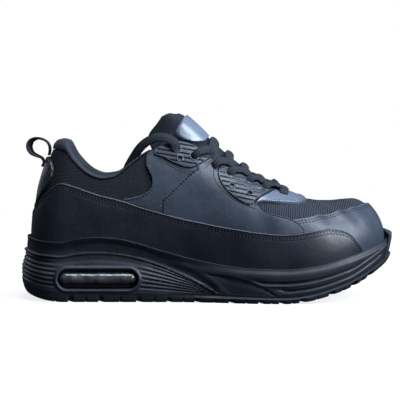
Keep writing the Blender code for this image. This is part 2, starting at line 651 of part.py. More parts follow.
def window_wall(side):
    """How far out the sole's side lies at the middle of the window."""
    share = share_at(WINDOW["centre"][0])
    place = math.acos(1 - 2 * share) / math.pi
    turn = place / 2 if side < 0 else 1 - place / 2
    return abs(float(sole_side(turn, 0.30)[1]))


def make_window_cutter(side, cutters):
    """A stadium-ended block that opens the air cell's window in one side of the midsole."""
    cx, cz = WINDOW["centre"]
    radius = WINDOW["height"] / 2
    straight = WINDOW["length"] / 2 - radius
    section = []
    for end in (1, -1):
        for i in range(9):
            angle = end * math.pi / 2 - math.pi * i / 8
            section.append((cx + end * straight + radius * math.cos(angle), cz + radius * math.sin(angle)))
    deep = window_wall(side) - WINDOW["depth"]
    points = [(x, side * deep, z) for x, z in section] + [(x, side * 0.060, z) for x, z in section]
    count = len(section)
    faces = [tuple(range(count)), tuple(range(2 * count - 1, count - 1, -1))]
    faces += [((i + 1) % count, i, i + count, (i + 1) % count + count) for i in range(count)]
    cutter = add_mesh(f"window_cutter_{'outer' if side < 0 else 'inner'}", points, faces, None, cutters)
    cutter.hide_render = True
    cutter.display_type = "WIRE"
    return cutter


def make_air_cell(name, side, look, part):
    """The tube behind a window: a round bar with rounded ends, lying along the shoe."""
    cx, cz = WINDOW["centre"]
    half = WINDOW["length"] / 2 - 0.0012
    centre_y = side * (window_wall(side) - WINDOW["depth"] + AIR_CELL_RADIUS + 2 * GAP)
    points, faces, last = [], [], None
    for x, scale in ((-half, 0.55), (-half + 0.0012, 0.85), (-half + 0.004, 1.0), (half - 0.004, 1.0),
                     (half - 0.0012, 0.85), (half, 0.55)):
        ring = []
        for i in range(12):
            angle = 2 * math.pi * i / 12
            radius = AIR_CELL_RADIUS * scale
            ring.append((cx + x, centre_y + radius * math.cos(angle), cz + 0.0008 + radius * math.sin(angle)))
        last = ring_add(points, faces, ring, last)
    faces += [tuple(range(12)), tuple(range(last + 11, last - 1, -1))]
    return add_mesh(name, points, faces, look, part)


def make_outsole(look, part):
    """The tread with its lugs, its side strip and the bumper that climbs the toe."""
    stations = [(k / SIDE_COLUMNS, 0) for k in range(7)]
    for x in TREAD_GROOVES:
        for dx, level in ((-1, 0), (-1, 1), (1, 1), (1, 0)):
            share = share_at(x + dx * TREAD_GROOVE_WIDTH / 2)
            stations.append((math.acos(1 - 2 * share) / math.pi, level))
    for k in (0, 1):
        x = (TREAD_GROOVES[k] + TREAD_GROOVES[k + 1]) / 2
        stations.append((math.acos(1 - 2 * share_at(x)) / math.pi, 0))
    stations += [(k / SIDE_COLUMNS, 0) for k in range(SIDE_COLUMNS - 5, SIDE_COLUMNS + 1)]
    order = sorted(range(len(stations)), key=lambda i: (round(stations[i][0], 6), i))
    stations = [stations[i] for i in order]
    place = np.array([s[0] for s in stations])
    level = np.array([s[1] for s in stations])
    first = next(i for i, s in enumerate(stations) if s[1])
    final = max(i for i, s in enumerate(stations) if s[1])
    half = TREAD_CHANNEL_WIDTH / 2
    across = [(0.0, 0)]
    for centre in TREAD_CHANNELS:
        across += [(centre - half, 0), (centre - half, 1), (centre + half, 1), (centre + half, 0)]
    across += [(1.0, 0)]
    outer, inner = place / 2, 1 - place / 2
    inset = np.full(place.shape, -TREAD_EDGE)
    edges = [outline(outer, inset), outline(inner, inset)]
    points, faces = [], []
    for i in range(len(stations)):
        for t, channel in across:
            x, y = edges[0][i] * (1 - t) + edges[1][i] * t
            deep = max(level[i], channel if first < i < final else 0)
            points.append((x, y, float(floor_height(share_at(x))) + LUG_DEPTH * deep))
    faces += sheet_faces(len(stations), len(across), 0)
    top_faces = []
    tops = []
    for side_turn, edge, column in ((outer, edges[0], 0), (inner, edges[1], len(across) - 1)):
        toe = ease(0.80, 0.857, place)
        floor = floor_height(share_at(edge[:, 0]))
        low = np.concatenate([edge, (floor + LUG_DEPTH)[:, None]], -1)
        start_points = np.array([points[i * len(across) + column] for i in range(len(stations))])
        mid = outline(side_turn, np.full(place.shape, -0.0012))
        mid_floor = floor_height(share_at(mid[:, 0]))
        line = outsole_height(share_at(mid[:, 0]))
        middle = np.concatenate([mid, (mid_floor + (line - mid_floor) * 0.72)[:, None]], -1)
        rows = [start_points, low, middle]
        rise = ease(0.893, 0.964, place)
        for fraction in (0.0, 0.3, 0.6, 0.85, 1.0):
            rows.append(bumper_point(side_turn, fraction, rise, toe, 1.0))
        for fraction in (1.0, 0.75, 0.5, 0.25, 0.0):
            rows.append(bumper_point(side_turn, fraction, rise, toe, 0.0))
        grid = np.stack(rows, 1)
        start = len(points)
        points.extend(grid.reshape(-1, 3))
        faces += sheet_faces(len(stations), len(rows), start)
        tops.append((start, len(rows)))
    for i in range(len(stations) - 1):
        a = tops[0][0] + i * tops[0][1] + tops[0][1] - 1
        b = tops[1][0] + i * tops[1][1] + tops[1][1] - 1
        top_faces.append((a, a + tops[0][1], b + tops[1][1], b))
    return add_mesh("outsole", points, faces + top_faces, look, part)


def bumper_point(turn, fraction, rise, toe, outside):
    """A point on the bumper's outer (1) or inner (0) face, from the outsole's line up to its top."""
    base = sole_side(turn, np.zeros(turn.shape))
    line = outsole_height(share_at(base[:, 0]))
    height = line + (BUMPER_HEIGHT - line) * rise * fraction
    rim = rim_height(length_share(fold(turn)[1]))
    level = np.clip((height - line - GAP) / (rim - line - GAP), 0, 1)
    wall = sole_side(turn, level)
    above = surface(turn, rise_at(turn, np.maximum(height, rim)), np.full(turn.shape, CUP_CLEARANCE + RIM_THICKNESS))
    wall = np.where((height > rim)[:, None], above, wall)
    thick = GAP * 2.0 + (BUMPER_THICKNESS - GAP) * (1.0 - 0.25 * fraction) * outside
    inside_line = -0.003 * (1 - toe) * (1 - outside)
    flat = wall[:, :2] + outline_normal(turn) * (toe * thick + inside_line)[:, None]
    line_here = outsole_height(share_at(flat[:, 0]))
    return np.concatenate([flat, (height - line + line_here)[:, None]], -1)


def make_insole(look, part):
    turns = columns()
    points, faces, last = [], [], None
    for up in (0.0, INSOLE_THICKNESS):
        ring = surface(turns, np.zeros(turns.shape), np.full(turns.shape, -(UPPER_WALL + 2 * GAP)))
        ring[:, 2] = footbed_height(share_at(ring[:, 0])) + up
        last = ring_add(points, faces, list(ring), last)
    faces += deck_faces(0, SIDE_COLUMNS) + deck_faces(last, SIDE_COLUMNS)
    return add_mesh("insole", points, faces, look, part)


def panel_turns(table, column, side, both):
    """The turns of a panel's stations. A panel on both sides runs over the heel or over the toe."""
    place = table[:, column]
    exact = np.round(place * SIDE_COLUMNS) / SIDE_COLUMNS
    place = np.where(np.abs(place - exact) < 0.001, exact, place)
    if both == "heel":
        return np.concatenate([-place[:0:-1] / 2, place / 2])
    if both == "toe":
        return np.concatenate([place / 2, 1 - place[-2::-1] / 2])
    return place / 2 if side < 0 else 1 - place / 2


def panel_rises(table, column, both):
    rise = table[:, column]
    if both == "heel":
        return np.concatenate([rise[:0:-1], rise])
    if both == "toe":
        return np.concatenate([rise, rise[-2::-1]])
    return rise


def panel(name, table, near, thickness, look, part, side=-1, both=None):
    """A panel on the upper between its lower and upper edge, on the same rows as the upper's faces."""
    turn = panel_turns(table, 0, side, both)
    low, high = panel_rises(table, 1, both), panel_rises(table, 3, both)
    step = wall_top(fold(turn)[1]) / UPPER_ROWS
    first, last = int(np.floor(np.min(low / step))), int(np.ceil(np.max(high / step)))
    level = np.arange(first, last + 1)[None, :] * step[:, None]
    rise = np.clip(level, low[:, None], high[:, None])
    turn = turn[:, None] + 0 * rise
    inner = facet_surface(turn, rise, np.full(turn.shape, near))
    outer = facet_surface(turn, rise, np.full(turn.shape, near + thickness))
    return slab(name, outer, inner, look, part)


def ruled_panel(name, table, rows, near, thickness, look, part, side=-1, both=None):
    """A panel whose stations lean, ruled between its lower and upper edge."""
    share = np.linspace(0, 1, rows + 1)[None, :]
    low, high = panel_turns(table, 0, side, both)[:, None], panel_turns(table, 2, side, both)[:, None]
    turn = low * (1 - share) + high * share
    low, high = panel_rises(table, 1, both)[:, None], panel_rises(table, 3, both)[:, None]
    rise = low * (1 - share) + high * share
    inner = over_surface(turn, rise, np.full(turn.shape, near))
    outer = over_surface(turn, rise, np.full(turn.shape, near + thickness))
    return slab(name, outer, inner, look, part)


def tongue_point(station, across):
    """A point on the tongue's outside; across runs from -1 at its outer edge to 1 at its inner edge."""
    station, across = np.broadcast_arrays(np.asarray(station, float), np.asarray(across, float))
    station = station + 0.045 * np.abs(across) ** 6 * (1 - station)

    def middle(at):
        x = (smooth(TONGUE, 1, at) - 0.5) * LENGTH
        return np.stack([x, np.zeros_like(x), COLLAR_HEIGHT * smooth(TONGUE, 2, at)], -1)

    ahead, behind = middle(np.clip(station + 0.02, 0, 1)), middle(np.clip(station - 0.02, 0, 1))
    along = ahead - behind
    inward = np.stack([along[..., 2], np.zeros_like(station), -along[..., 0]], -1)
    inward = inward / np.linalg.norm(inward, axis=-1, keepdims=True)
    drop = COLLAR_HEIGHT * smooth(TONGUE, 4, station) * np.abs(across) ** TONGUE_BEND
    point = middle(station) + inward * drop[..., None]
    back = COLLAR_HEIGHT * np.abs(across) ** WING_BEND * smooth(TONGUE, 6, station)
    lift = COLLAR_HEIGHT * np.abs(across) ** WING_LIFT_BEND * smooth(TONGUE, 7, station)
    point[..., 0] -= back
    point[..., 2] += lift
    point[..., 1] = HEEL_WIDTH * smooth(TONGUE, 3, station) * across
    return point


def tongue_surface(station, across, out=0.0):
    """A point at a distance out from the tongue's outside."""
    station, across = np.broadcast_arrays(np.asarray(station, float), np.asarray(across, float))
    s, a = np.clip(station, 0.01, 0.99), np.clip(across, -0.98, 0.98)
    along = tongue_point(s + 0.01, a) - tongue_point(s - 0.01, a)
    over = tongue_point(s, a + 0.02) - tongue_point(s, a - 0.02)
    normal = np.cross(along, over)
    normal = normal / np.linalg.norm(normal, axis=-1, keepdims=True)
    return tongue_point(station, across) + normal * np.asarray(out)[..., None], normal


def make_tongue(look, part):
    station = np.array([0, 0.05, 0.12, 0.21, 0.3, 0.4, 0.5, 0.6, 0.7, 0.8, 0.9, 1.0])
    across = np.array([-1, -0.8, -0.55, -0.28, 0, 0.28, 0.55, 0.8, 1])
    s, a = np.meshgrid(station, across, indexing="ij")
    outer, _ = tongue_surface(s, a)
    thick = COLLAR_HEIGHT * smooth(TONGUE, 5, s) * (1 - 0.5 * a**2)
    inner, _ = tongue_surface(s, a, -thick)
    return slab("tongue", outer, inner, look, part)


def make_tongue_patch(look, part):
    rows = ((0.060, 0.40), (0.088, 0.66), (0.130, 0.80), (0.185, 0.82), (0.230, 0.72), (0.262, 0.45))
    share = np.linspace(-1, 1, 7)[None, :]
    station = np.array([[r[0]] for r in rows]) + 0 * share
    across = np.array([[r[1]] for r in rows]) * share
    outer, _ = tongue_surface(station, across, np.full(station.shape, 4 * GAP + 0.0014))
    inner, _ = tongue_surface(station, across, np.full(station.shape, 4 * GAP))
    return slab("tongue_patch", outer, inner, look, part)


def make_collar(look, part):
    """The padded collar: a section swept from the front of one side, round the heel, to the other side."""
    ends = int(0.465 * SIDE_COLUMNS)
    turns = np.arange(-ends, ends + 1) / (2 * SIDE_COLUMNS)
    _, place = fold(turns)
    size = COLLAR_DEPTH * smooth(COLLAR_SIZE, 1, place)
    top_rise = wall_top(place)
    seam = np.minimum(top_rise + 0.012, 0.997)
    wall = UPPER_WALL + 3 * GAP
    out = top_point(turns)
    normal = np.concatenate([outline_normal(turns), np.zeros((len(turns), 1))], -1)
    up = np.array([0, 0, 1.0])
    bulge = 0.0006
    rings = [
        surface(turns, seam, np.full(turns.shape, -wall)),
        surface(turns, seam, np.zeros(turns.shape)),
        surface(turns, (seam + 1) / 2, np.full(turns.shape, bulge)),
    ]
    for a, b in COLLAR_SECTION:
        rings.append(out + normal * (a * size)[:, None] + up * (b * size)[:, None])
    inside = surface(turns, top_rise - 0.16 * size / COLLAR_DEPTH, np.full(turns.shape, -wall - 0.0008))
    rings[-1] = inside + np.array([0, 0, -0.001])
    grid = np.stack(rings, 1)
    count = grid.shape[1]
    points = list(grid.reshape(-1, 3))
    faces = []
    for i in range(len(turns) - 1):
        for j in range(count):
            k = (j + 1) % count
            faces.append((i * count + j, (i + 1) * count + j, (i + 1) * count + k, i * count + k))
    faces.append(tuple(range(count)))
    faces.append(tuple(range((len(turns) - 1) * count + count - 1, (len(turns) - 1) * count - 1, -1)))
    return add_mesh("collar_padding", points, faces, look, part)


def ribbon(path, ups, width, thickness, steps):
    """Points and faces of a flat band along a path, wide across it and thin along its up direction."""
    path, ups = np.array(path, float), np.array(ups, float)
    keys = np.concatenate([[0], np.cumsum(np.linalg.norm(np.diff(path, axis=0), axis=1))])
    table = np.column_stack([keys, path, ups])
    at = np.linspace(0, keys[-1], steps + 1)
    centre = np.stack([smooth(table, c, at) for c in (1, 2, 3)], -1)
    up = np.stack([smooth(table, c, at) for c in (4, 5, 6)], -1)
    tangent = np.gradient(centre, axis=0)
    tangent /= np.linalg.norm(tangent, axis=1, keepdims=True)
    side = np.cross(up, tangent)
    side /= np.linalg.norm(side, axis=1, keepdims=True)
    up = np.cross(tangent, side)
    points, faces, last = [], [], None
    half, thin = width / 2, thickness / 2
    for c, u, s in zip(centre, up, side):
        ring = [c + s * half, c + s * half * 0.8 + u * thin, c - s * half * 0.8 + u * thin,
                c - s * half, c - s * half * 0.8 - u * thin, c + s * half * 0.8 - u * thin]
        last = ring_add(points, faces, ring, last)
    faces += [tuple(range(6)), tuple(range(last + 5, last - 1, -1))]
    return points, faces


def over_edge(index, side, share, out):
    """A point over the way from an eyelet (0) to the throat's edge (1), and the outward direction there."""
    place, rise, edge = EYELETS[index]
    place = place + (edge - place) * share
    turn = np.array([place / 2 if side < 0 else 1 - place / 2])
    level = np.array([rise + (1 - rise) * share])
    return surface(turn, level, np.array([out]))[0], upper_normal(turn, level)[0]


def tongue_at(x, y, out):
    """The point at a distance out from the tongue that lies over (x, y), and the direction out there."""
    station, across = np.meshgrid(np.linspace(0, 1, 301), np.linspace(-1, 1, 121), indexing="ij")
    grid = tongue_point(station, across)
    near = np.unravel_index(np.argmin((grid[..., 0] - x) ** 2 + (grid[..., 1] - y) ** 2), station.shape)
    point, normal = tongue_surface(station[near], across[near], out)
    return point, normal


def lace_strand(index, side, top):
    """One strand of a crossing: from over an eyelet on one side to the edge at the next eyelet on the other."""
    over = PLATE_STACK + 2 * GAP + LACE_THICKNESS / 2
    path, ups = [], []
    for share in (-0.12, 0.45, 0.92):
        point, normal = over_edge(index, side, share, over)
        path.append(point)
        ups.append(normal)
    begin = top_point(np.array([EYELETS[index, 2] / 2 if side < 0 else 1 - EYELETS[index, 2] / 2]))[0]
    far = EYELETS[index + 1, 2] - 0.014
    end = top_point(np.array([1 - far / 2 if side < 0 else far / 2]))[0]
    end[1] -= math.copysign(LACE_END_INSET, end[1])
    lifts = LACE_LIFTS_TOP if top else LACE_LIFTS_BOTTOM
    for share, lift in lifts:
        lift += LACE_START_LIFT[index] * max(0.0, 1 - share / 0.34)
        x, y = (begin[:2] * (1 - share) + end[:2] * share)
        point, normal = tongue_at(x, y, lift)
        path.append(point)
        ups.append(normal)
    return ribbon(path, ups, LACE_WIDTH, LACE_THICKNESS, 9)


def make_crossing(index, look, part, cutters):
    """Two strands that cross on the tongue, joined where they touch."""
    points, faces = lace_strand(index, -1, True)
    made = add_mesh(f"lace_crossing_{index}", points, faces, look, part)
    points, faces = lace_strand(index, 1, False)
    other = add_mesh(f"lace_strand_{index}", points, faces, None, cutters)
    other.hide_render = True
    other.display_type = "WIRE"
    join = made.modifiers.new("join", "BOOLEAN")
    join.operation = "UNION"
    join.solver = "EXACT"
    join.object = other
    return made


def make_lace_bar(look, part):
    """The straight bar between the two lowest eyelets."""
    over = PLATE_STACK + 2 * GAP + LACE_THICKNESS / 2
    last = len(EYELETS) - 1
    near = [over_edge(last, -1, share, over) for share in (-0.12, 0.5, 1.0)]
    away = [over_edge(last, 1, share, over) for share in (1.0, 0.5, -0.12)]
    middle = ((near[-1][0] + away[0][0]) / 2, np.array([0.2, 0, 1.0]))
    line = near + [middle] + away
    points, faces = ribbon([p for p, _ in line], [n for _, n in line], LACE_WIDTH, LACE_THICKNESS, 10)
    return add_mesh("lace_bar", points, faces, look, part)


def make_lace_end(look, part):
    ups = [(0.1, -1.0, 0.35)] * len(LACE_END)
    points, faces = ribbon(LACE_END, ups, LACE_WIDTH, LACE_THICKNESS, 12)
    return add_mesh("lace_end", points, faces, look, part)


def make_pull_loop(look, part):
    """A band of webbing across the heel's back, from over the collar round to the heel tab."""
    line = np.array(PULL_LOOP)
    path = np.column_stack([line[:, 0], np.zeros(len(line)), line[:, 1]])
    along = np.gradient(path, axis=0)
    ups = np.column_stack([along[:, 2], np.zeros(len(line)), -along[:, 0]])
    ups /= np.linalg.norm(ups, axis=1, keepdims=True)
    twist = np.radians(line[:, 2])[:, None]
    ups = ups * np.cos(twist) + np.array([0, 1.0, 0]) * np.sin(twist)
    points, faces = ribbon(path, ups, PULL_LOOP_WIDTH, PULL_LOOP_THICKNESS, 14)
    return add_mesh("pull_loop", points, faces, look, part)


def main():
    for old in list(bpy.data.objects):
        bpy.data.objects.remove(old)
    part = bpy.data.collections.new("safety_sneaker")
    cutters = bpy.data.collections.new("cutters")
    bpy.context.scene.collection.children.link(part)
    bpy.context.scene.collection.children.link(cutters)
    mesh_cloth = material("mesh_cloth", (0.010, 0.011, 0.016), 0.85)
    leather = material("leather", (0.030, 0.036, 0.052), 0.45)
    counter = material("counter_leather", (0.008, 0.009, 0.013), 0.42)
    plate = material("plate_tpu", (0.036, 0.042, 0.060), 0.38)
    lining = material("lining", (0.010, 0.011, 0.015), 0.80)
    foam = material("midsole_foam", (0.012, 0.013, 0.019), 0.55)
    rubber = material("outsole_rubber", (0.014, 0.016, 0.022), 0.60)
    cell = material("air_cell", (0.020, 0.023, 0.032), 0.15)
    lace = material("lace_webbing", (0.020, 0.023, 0.032), 0.80)
    webbing = material("loop_webbing", (0.008, 0.009, 0.013), 0.75)

    make_outsole(rubber, part)
    make_midsole(foam, part, cutters)
    make_air_cell("air_cell_outer", -1, cell, part)
    make_air_cell("air_cell_inner", 1, cell, part)
    make_insole(lining, part)
    make_upper(mesh_cloth, part)
    panel("mudguard", MUDGUARD, 1.3 * GAP, MUDGUARD_THICKNESS, counter, part, both="heel")
    panel("toe_cap", TOE_CAP, 2 * GAP, TOE_CAP_THICKNESS, leather, part, both="toe")
    panel("heel_tab", HEEL_TAB, GAP, HEEL_TAB_THICKNESS, counter, part, both="heel")
    ruled_panel("throat_piece", THROAT_PIECE, 3, 3 * GAP, TOE_CAP_THICKNESS, leather, part, both="toe")
    for side, label in ((-1, "outer"), (1, "inner")):
        panel(f"quarter_{label}", QUARTER, GAP, QUARTER_THICKNESS, leather, part, side)
        panel(f"plate_upper_{label}", PLATE_UPPER, GAP, PLATE_THICKNESS, plate, part, side)
        ruled_panel(f"plate_lower_{label}", PLATE_LOWER, 4, 2.5 * GAP, PLATE_THICKNESS, plate, part, side)
    make_tongue(mesh_cloth, part)
    make_tongue_patch(leather, part)
    make_collar(lining, part)
    make_pull_loop(webbing, part)
    for index in range(1, 6):
        make_crossing(index, lace, part, cutters)
    make_lace_bar(lace, part)
    make_lace_end(lace, part)


if __name__ == "__main__":
    main()
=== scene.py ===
"""The looks of a low safety sneaker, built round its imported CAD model: panels, seams, weave, laces and sole.

Almost every piece lies on surface(turn, rise, out): turn goes once round the shoe from the heel along the
outer side, rise goes up from the sole to the top line, and out is the distance from the bare upper.
"""

import json
import math
from types import SimpleNamespace

import bmesh
import bpy
import numpy as np
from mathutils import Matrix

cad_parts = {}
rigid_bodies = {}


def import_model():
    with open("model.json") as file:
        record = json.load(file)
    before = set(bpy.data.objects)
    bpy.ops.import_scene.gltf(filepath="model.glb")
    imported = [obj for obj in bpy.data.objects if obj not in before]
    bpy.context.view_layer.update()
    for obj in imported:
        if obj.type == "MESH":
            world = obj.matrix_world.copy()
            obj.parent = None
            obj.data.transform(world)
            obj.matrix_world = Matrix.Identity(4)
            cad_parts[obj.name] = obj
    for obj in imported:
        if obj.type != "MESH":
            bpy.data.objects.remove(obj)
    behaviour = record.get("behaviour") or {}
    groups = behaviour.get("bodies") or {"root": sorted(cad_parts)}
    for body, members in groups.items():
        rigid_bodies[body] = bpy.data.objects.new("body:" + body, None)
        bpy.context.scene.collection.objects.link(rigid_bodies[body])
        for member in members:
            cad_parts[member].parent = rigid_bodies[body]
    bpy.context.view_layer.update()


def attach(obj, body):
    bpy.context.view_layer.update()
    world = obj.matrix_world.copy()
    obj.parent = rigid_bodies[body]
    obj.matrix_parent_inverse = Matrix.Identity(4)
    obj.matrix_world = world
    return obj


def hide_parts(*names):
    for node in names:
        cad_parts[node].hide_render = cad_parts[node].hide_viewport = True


# Driving sizes, in metres
LENGTH = 0.3
BALL_WIDTH = 0.11
HEEL_WIDTH = 0.08
COLLAR_HEIGHT = 0.126
TOE_HEIGHT = 0.08
RIM_HEIGHT = 0.05
TOE_SPRING = 0.033
FOOTBED_HEIGHT = 0.034
OUTSOLE_LINE = 0.0065
LUG_DEPTH = 0.003
UPPER_WALL = 0.0022
MUDGUARD_THICKNESS = 0.002
TOE_CAP_THICKNESS = 0.0015
QUARTER_THICKNESS = 0.0012
PLATE_THICKNESS = 0.0026
HEEL_TAB_THICKNESS = 0.0022
INSOLE_THICKNESS = 0.005
RIM_THICKNESS = 0.0026
BUMPER_THICKNESS = 0.003
BUMPER_HEIGHT = 0.055
GAP = 0.0003
# How far out from the bare upper the sole's cup, its rim, the plates and the toe cap reach
CUP_CLEARANCE = MUDGUARD_THICKNESS + 2.3 * GAP
RIM_OUT = CUP_CLEARANCE + RIM_THICKNESS
PLATE_STACK = PLATE_THICKNESS + 2.5 * GAP
CAP_STACK = TOE_CAP_THICKNESS + 2 * GAP

# Shape of the sole seen from above: share of the length, then the centre as a share of the ball width,
# and the outer and inner half-widths as shares of the width there
PLAN = np.array([
    (0.0, 0.0, 0.5, 0.49), (0.13, 0.0, 0.5, 0.488), (0.25, 0.0, 0.5, 0.475), (0.4, 0.0, 0.505, 0.405),
    (0.55, 0.009, 0.495, 0.4), (0.68, 0.027, 0.509, 0.423), (0.76, 0.036, 0.527, 0.445),
    (0.85, 0.045, 0.518, 0.455), (0.93, 0.059, 0.5, 0.464), (1.0, 0.073, 0.473, 0.455),
])
HEEL_ROUND = 0.13
TOE_ROUND = 0.25
ROUND_POWER = 2.3
HEEL_TO_BALL = (0.4, 0.68)

# Heights along the length: share of the length, share of the named height
RIM = np.array([
    (0.0, 1.01), (0.06, 0.958), (0.11, 0.948), (0.16, 1.008), (0.21, 1.032), (0.26, 1.016), (0.32, 0.94),
    (0.38, 0.83), (0.45, 0.71), (0.53, 0.608), (0.61, 0.554), (0.7, 0.54), (0.78, 0.588), (0.86, 0.7),
    (0.92, 0.804), (1.0, 0.96),
])
FOOTBED = np.array([
    (0.0, 1.0), (0.12, 0.97), (0.3, 0.93), (0.45, 0.74), (0.6, 0.575), (0.7, 0.545), (0.8, 0.65),
    (0.9, 0.88), (1.0, 1.15),
])
FLOOR = np.array([
    (0.0, 0.24), (0.02, 0.17), (0.05, 0.085), (0.08, 0.03), (0.12, 0.0), (0.7, 0.0), (0.76, 0.06),
    (0.8, 0.145), (0.84, 0.258), (0.88, 0.394), (0.92, 0.576), (0.96, 0.788), (1.0, 1.0),
])
# The line where outsole and midsole meet: share of the length, height over the floor curve as a share
OUTSOLE = np.array([
    (0.0, 0.95), (0.1, 1.1), (0.33, 0.95), (0.53, 0.85), (0.7, 0.75), (0.85, 0.8), (1.0, 0.8),
])
# Inset of the upper's bottom edge from the sole's outline: share of the length, share of the ball width
INSET = np.array([
    (0.0, 0.1), (0.1, 0.082), (0.3, 0.073), (0.5, 0.073), (0.65, 0.077), (0.8, 0.077), (0.9, 0.082),
    (1.0, 0.091),
])

# Top line of the upper: place along the side; share of the length from the heel; centre and half-width
# as shares of the heel width; height as a share of the collar height plus a share of the toe height
TOP = np.array([
    (0.0, 0.0953, 0.0, 0.0, 1.0, 0.0), (0.06, 0.0967, 0.0, 0.105, 1.004, 0.0),
    (0.12, 0.105, 0.0, 0.205, 1.008, 0.0), (0.18, 0.125, 0.0, 0.295, 0.996, 0.0),
    (0.24, 0.1517, 0.0, 0.356, 0.9, 0.0), (0.3, 0.1933, 0.0, 0.398, 0.806, 0.0),
    (0.33, 0.223, 0.0, 0.409, 0.783, 0.0), (0.36, 0.2533, 0.0, 0.415, 0.792, 0.0),
    (0.39, 0.278, 0.0, 0.413, 0.828, 0.0), (0.42, 0.3, 0.0, 0.408, 0.872, 0.0),
    (0.48, 0.3567, 0.0, 0.366, 0.955, 0.0), (0.53, 0.4217, 0.0, 0.31, 1.004, 0.0),
    (0.58, 0.4867, 0.0, 0.275, 0.75, 0.313), (0.63, 0.5667, 0.0, 0.244, 0.45, 0.579),
    (0.68, 0.655, 0.0, 0.194, 0.2, 0.8), (0.72, 0.7, 0.004, 0.112, 0.08, 0.924),
    (0.75, 0.7217, 0.006, 0.0, 0.03, 0.99), (0.8, 0.7633, 0.012, 0.0, 0.0, 0.995),
    (0.85, 0.8, 0.018, 0.0, 0.0, 0.98), (0.9, 0.8333, 0.025, 0.0, 0.0, 0.981),
    (0.95, 0.865, 0.031, 0.0, 0.0, 0.994), (1.0, 0.8933, 0.038, 0.0, 0.0, 1.0),
])
THROAT_BASE = 0.75
VAMP_START = 0.55

# Fullness of the wall between bottom and top: place along the side; how far the lower and the upper
# handle lean out, as shares of the ball width, and how far they rise, as shares of the collar height
FULLNESS = np.array([
    (0.0, 0.045, 0.254, 0.087, -0.159), (0.12, 0.045, 0.254, 0.073, -0.159),
    (0.24, 0.05, 0.222, 0.055, -0.143), (0.3, 0.055, 0.206, 0.045, -0.127),
    (0.36, 0.059, 0.206, 0.045, -0.127), (0.42, 0.064, 0.238, 0.064, -0.175),
    (0.48, 0.073, 0.27, 0.1, -0.222), (0.53, 0.077, 0.302, 0.136, -0.222),
    (0.58, 0.082, 0.317, 0.173, -0.175), (0.63, 0.082, 0.317, 0.209, -0.095),
    (0.68, 0.082, 0.31, 0.236, -0.048), (0.75, 0.082, 0.294, 0.291, 0.0), (0.85, 0.077, 0.262, 0.255, 0.0),
    (0.92, 0.073, 0.19, 0.182, 0.0), (1.0, 0.068, 0.145, 0.136, 0.0),
])
# How much of the rise the padded collar takes from the wall's top: place along the side, share of rise
COLLAR_DROP = np.array([
    (0.0, 0.1), (0.12, 0.11), (0.2, 0.11), (0.26, 0.08), (0.32, 0.05), (0.38, 0.035), (0.44, 0.02),
    (0.48, 0.0), (1.0, 0.0),
])

# The sole's side wall: share of its height, then how far out it lies at the heel and at the forefoot,
# as shares of the wall relief
WALL_RELIEF = 0.005
WALL = np.array([
    (0.0, -0.1, -0.6), (0.05, -0.05, -0.5), (0.3, 0.0, -0.3), (0.5, -0.32, -0.16), (0.64, -0.6, -0.06),
    (0.75, -0.56, 0.0), (0.9, -0.7, -0.06), (1.0, -1.0, -0.3),
])
# Where the ribbed lower part of the heel's side ends: share of the length, share of the wall's height
WALL_STEP = np.array([
    (0.0, 0.72), (0.1, 0.72), (0.2, 0.73), (0.3, 0.715), (0.37, 0.66), (0.42, 0.56), (0.473, 0.385),
    (0.509, 0.19), (0.525, 0.06), (0.54, 0.0), (1.0, 0.0),
])
HEEL_RIBS = 8
# The flame-shaped hollow behind the ball: its upper and lower edge, by share of the length
FLAME_TOP = np.array([
    (0.49, 0.62), (0.51, 0.665), (0.534, 0.68), (0.575, 0.64), (0.615, 0.52), (0.654, 0.28), (0.68, 0.05),
    (0.69, 0.0),
])
FLAME_LOW = np.array([
    (0.49, 0.62), (0.507, 0.53), (0.527, 0.37), (0.551, 0.08), (0.56, 0.0), (0.69, 0.0),
])
# The rim's rounded lip: how far in from its outer edge, and how far down
RIM_LIP = ((0.0001, -0.0009), (0.0003, -0.0004), (0.0006, -0.0001), (0.001, 0.0), (0.0015, -0.0001))
WINDOW = {"centre": (-0.0865, 0.0182), "length": 0.0636, "height": 0.0157, "depth": 0.009}
# The frame round a window: how far out from its edge, and how far out from the sole's side
WINDOW_PROFILE = (
    (-0.001, -WINDOW["depth"]), (-0.0006, -0.007), (-0.0002, -0.002), (0.0, 0.0), (0.0004, 0.0006),
    (0.001, 0.0009), (0.0017, 0.0008), (0.0024, 0.0004), (0.0031, -0.0001), (0.0036, -0.0009),
)
AIR_CELL_RADIUS = 0.0045

# Tread: x of the main cross grooves and of the fine ones between them, then, by share of the width, the
# channels along it and the part that has them
TREAD_GROOVES = (-0.108, -0.084, -0.054, -0.03, -0.008, 0.019, 0.042, 0.058, 0.074, 0.097, 0.1145, 0.128)
TREAD_SIPES = (-0.12, -0.096, -0.069, -0.042, -0.019, 0.0055, 0.0305, 0.05, 0.066, 0.0855, 0.106, 0.1215)
TREAD_CHANNELS = (0.3, 0.5, 0.7)
TREAD_MIDDLE = np.array([(0.0, 0.0), (0.07, 1.0), (0.93, 1.0), (1.0, 0.0)])
TREAD_EDGE = 0.0035
# The bumper's rounded top and its inside: share of its height, share of its thickness
BUMPER_EDGE = ((0.95, 0.93), (0.985, 0.7), (1.0, 0.4), (0.985, 0.12), (0.9, 0.0), (0.5, 0.0), (0.0, 0.0))
# Over this height above the rim the bumper closes in on the toe cap; away from the toe it hides in the sole
BUMPER_HUG = 0.008
BUMPER_TUCK = 0.003

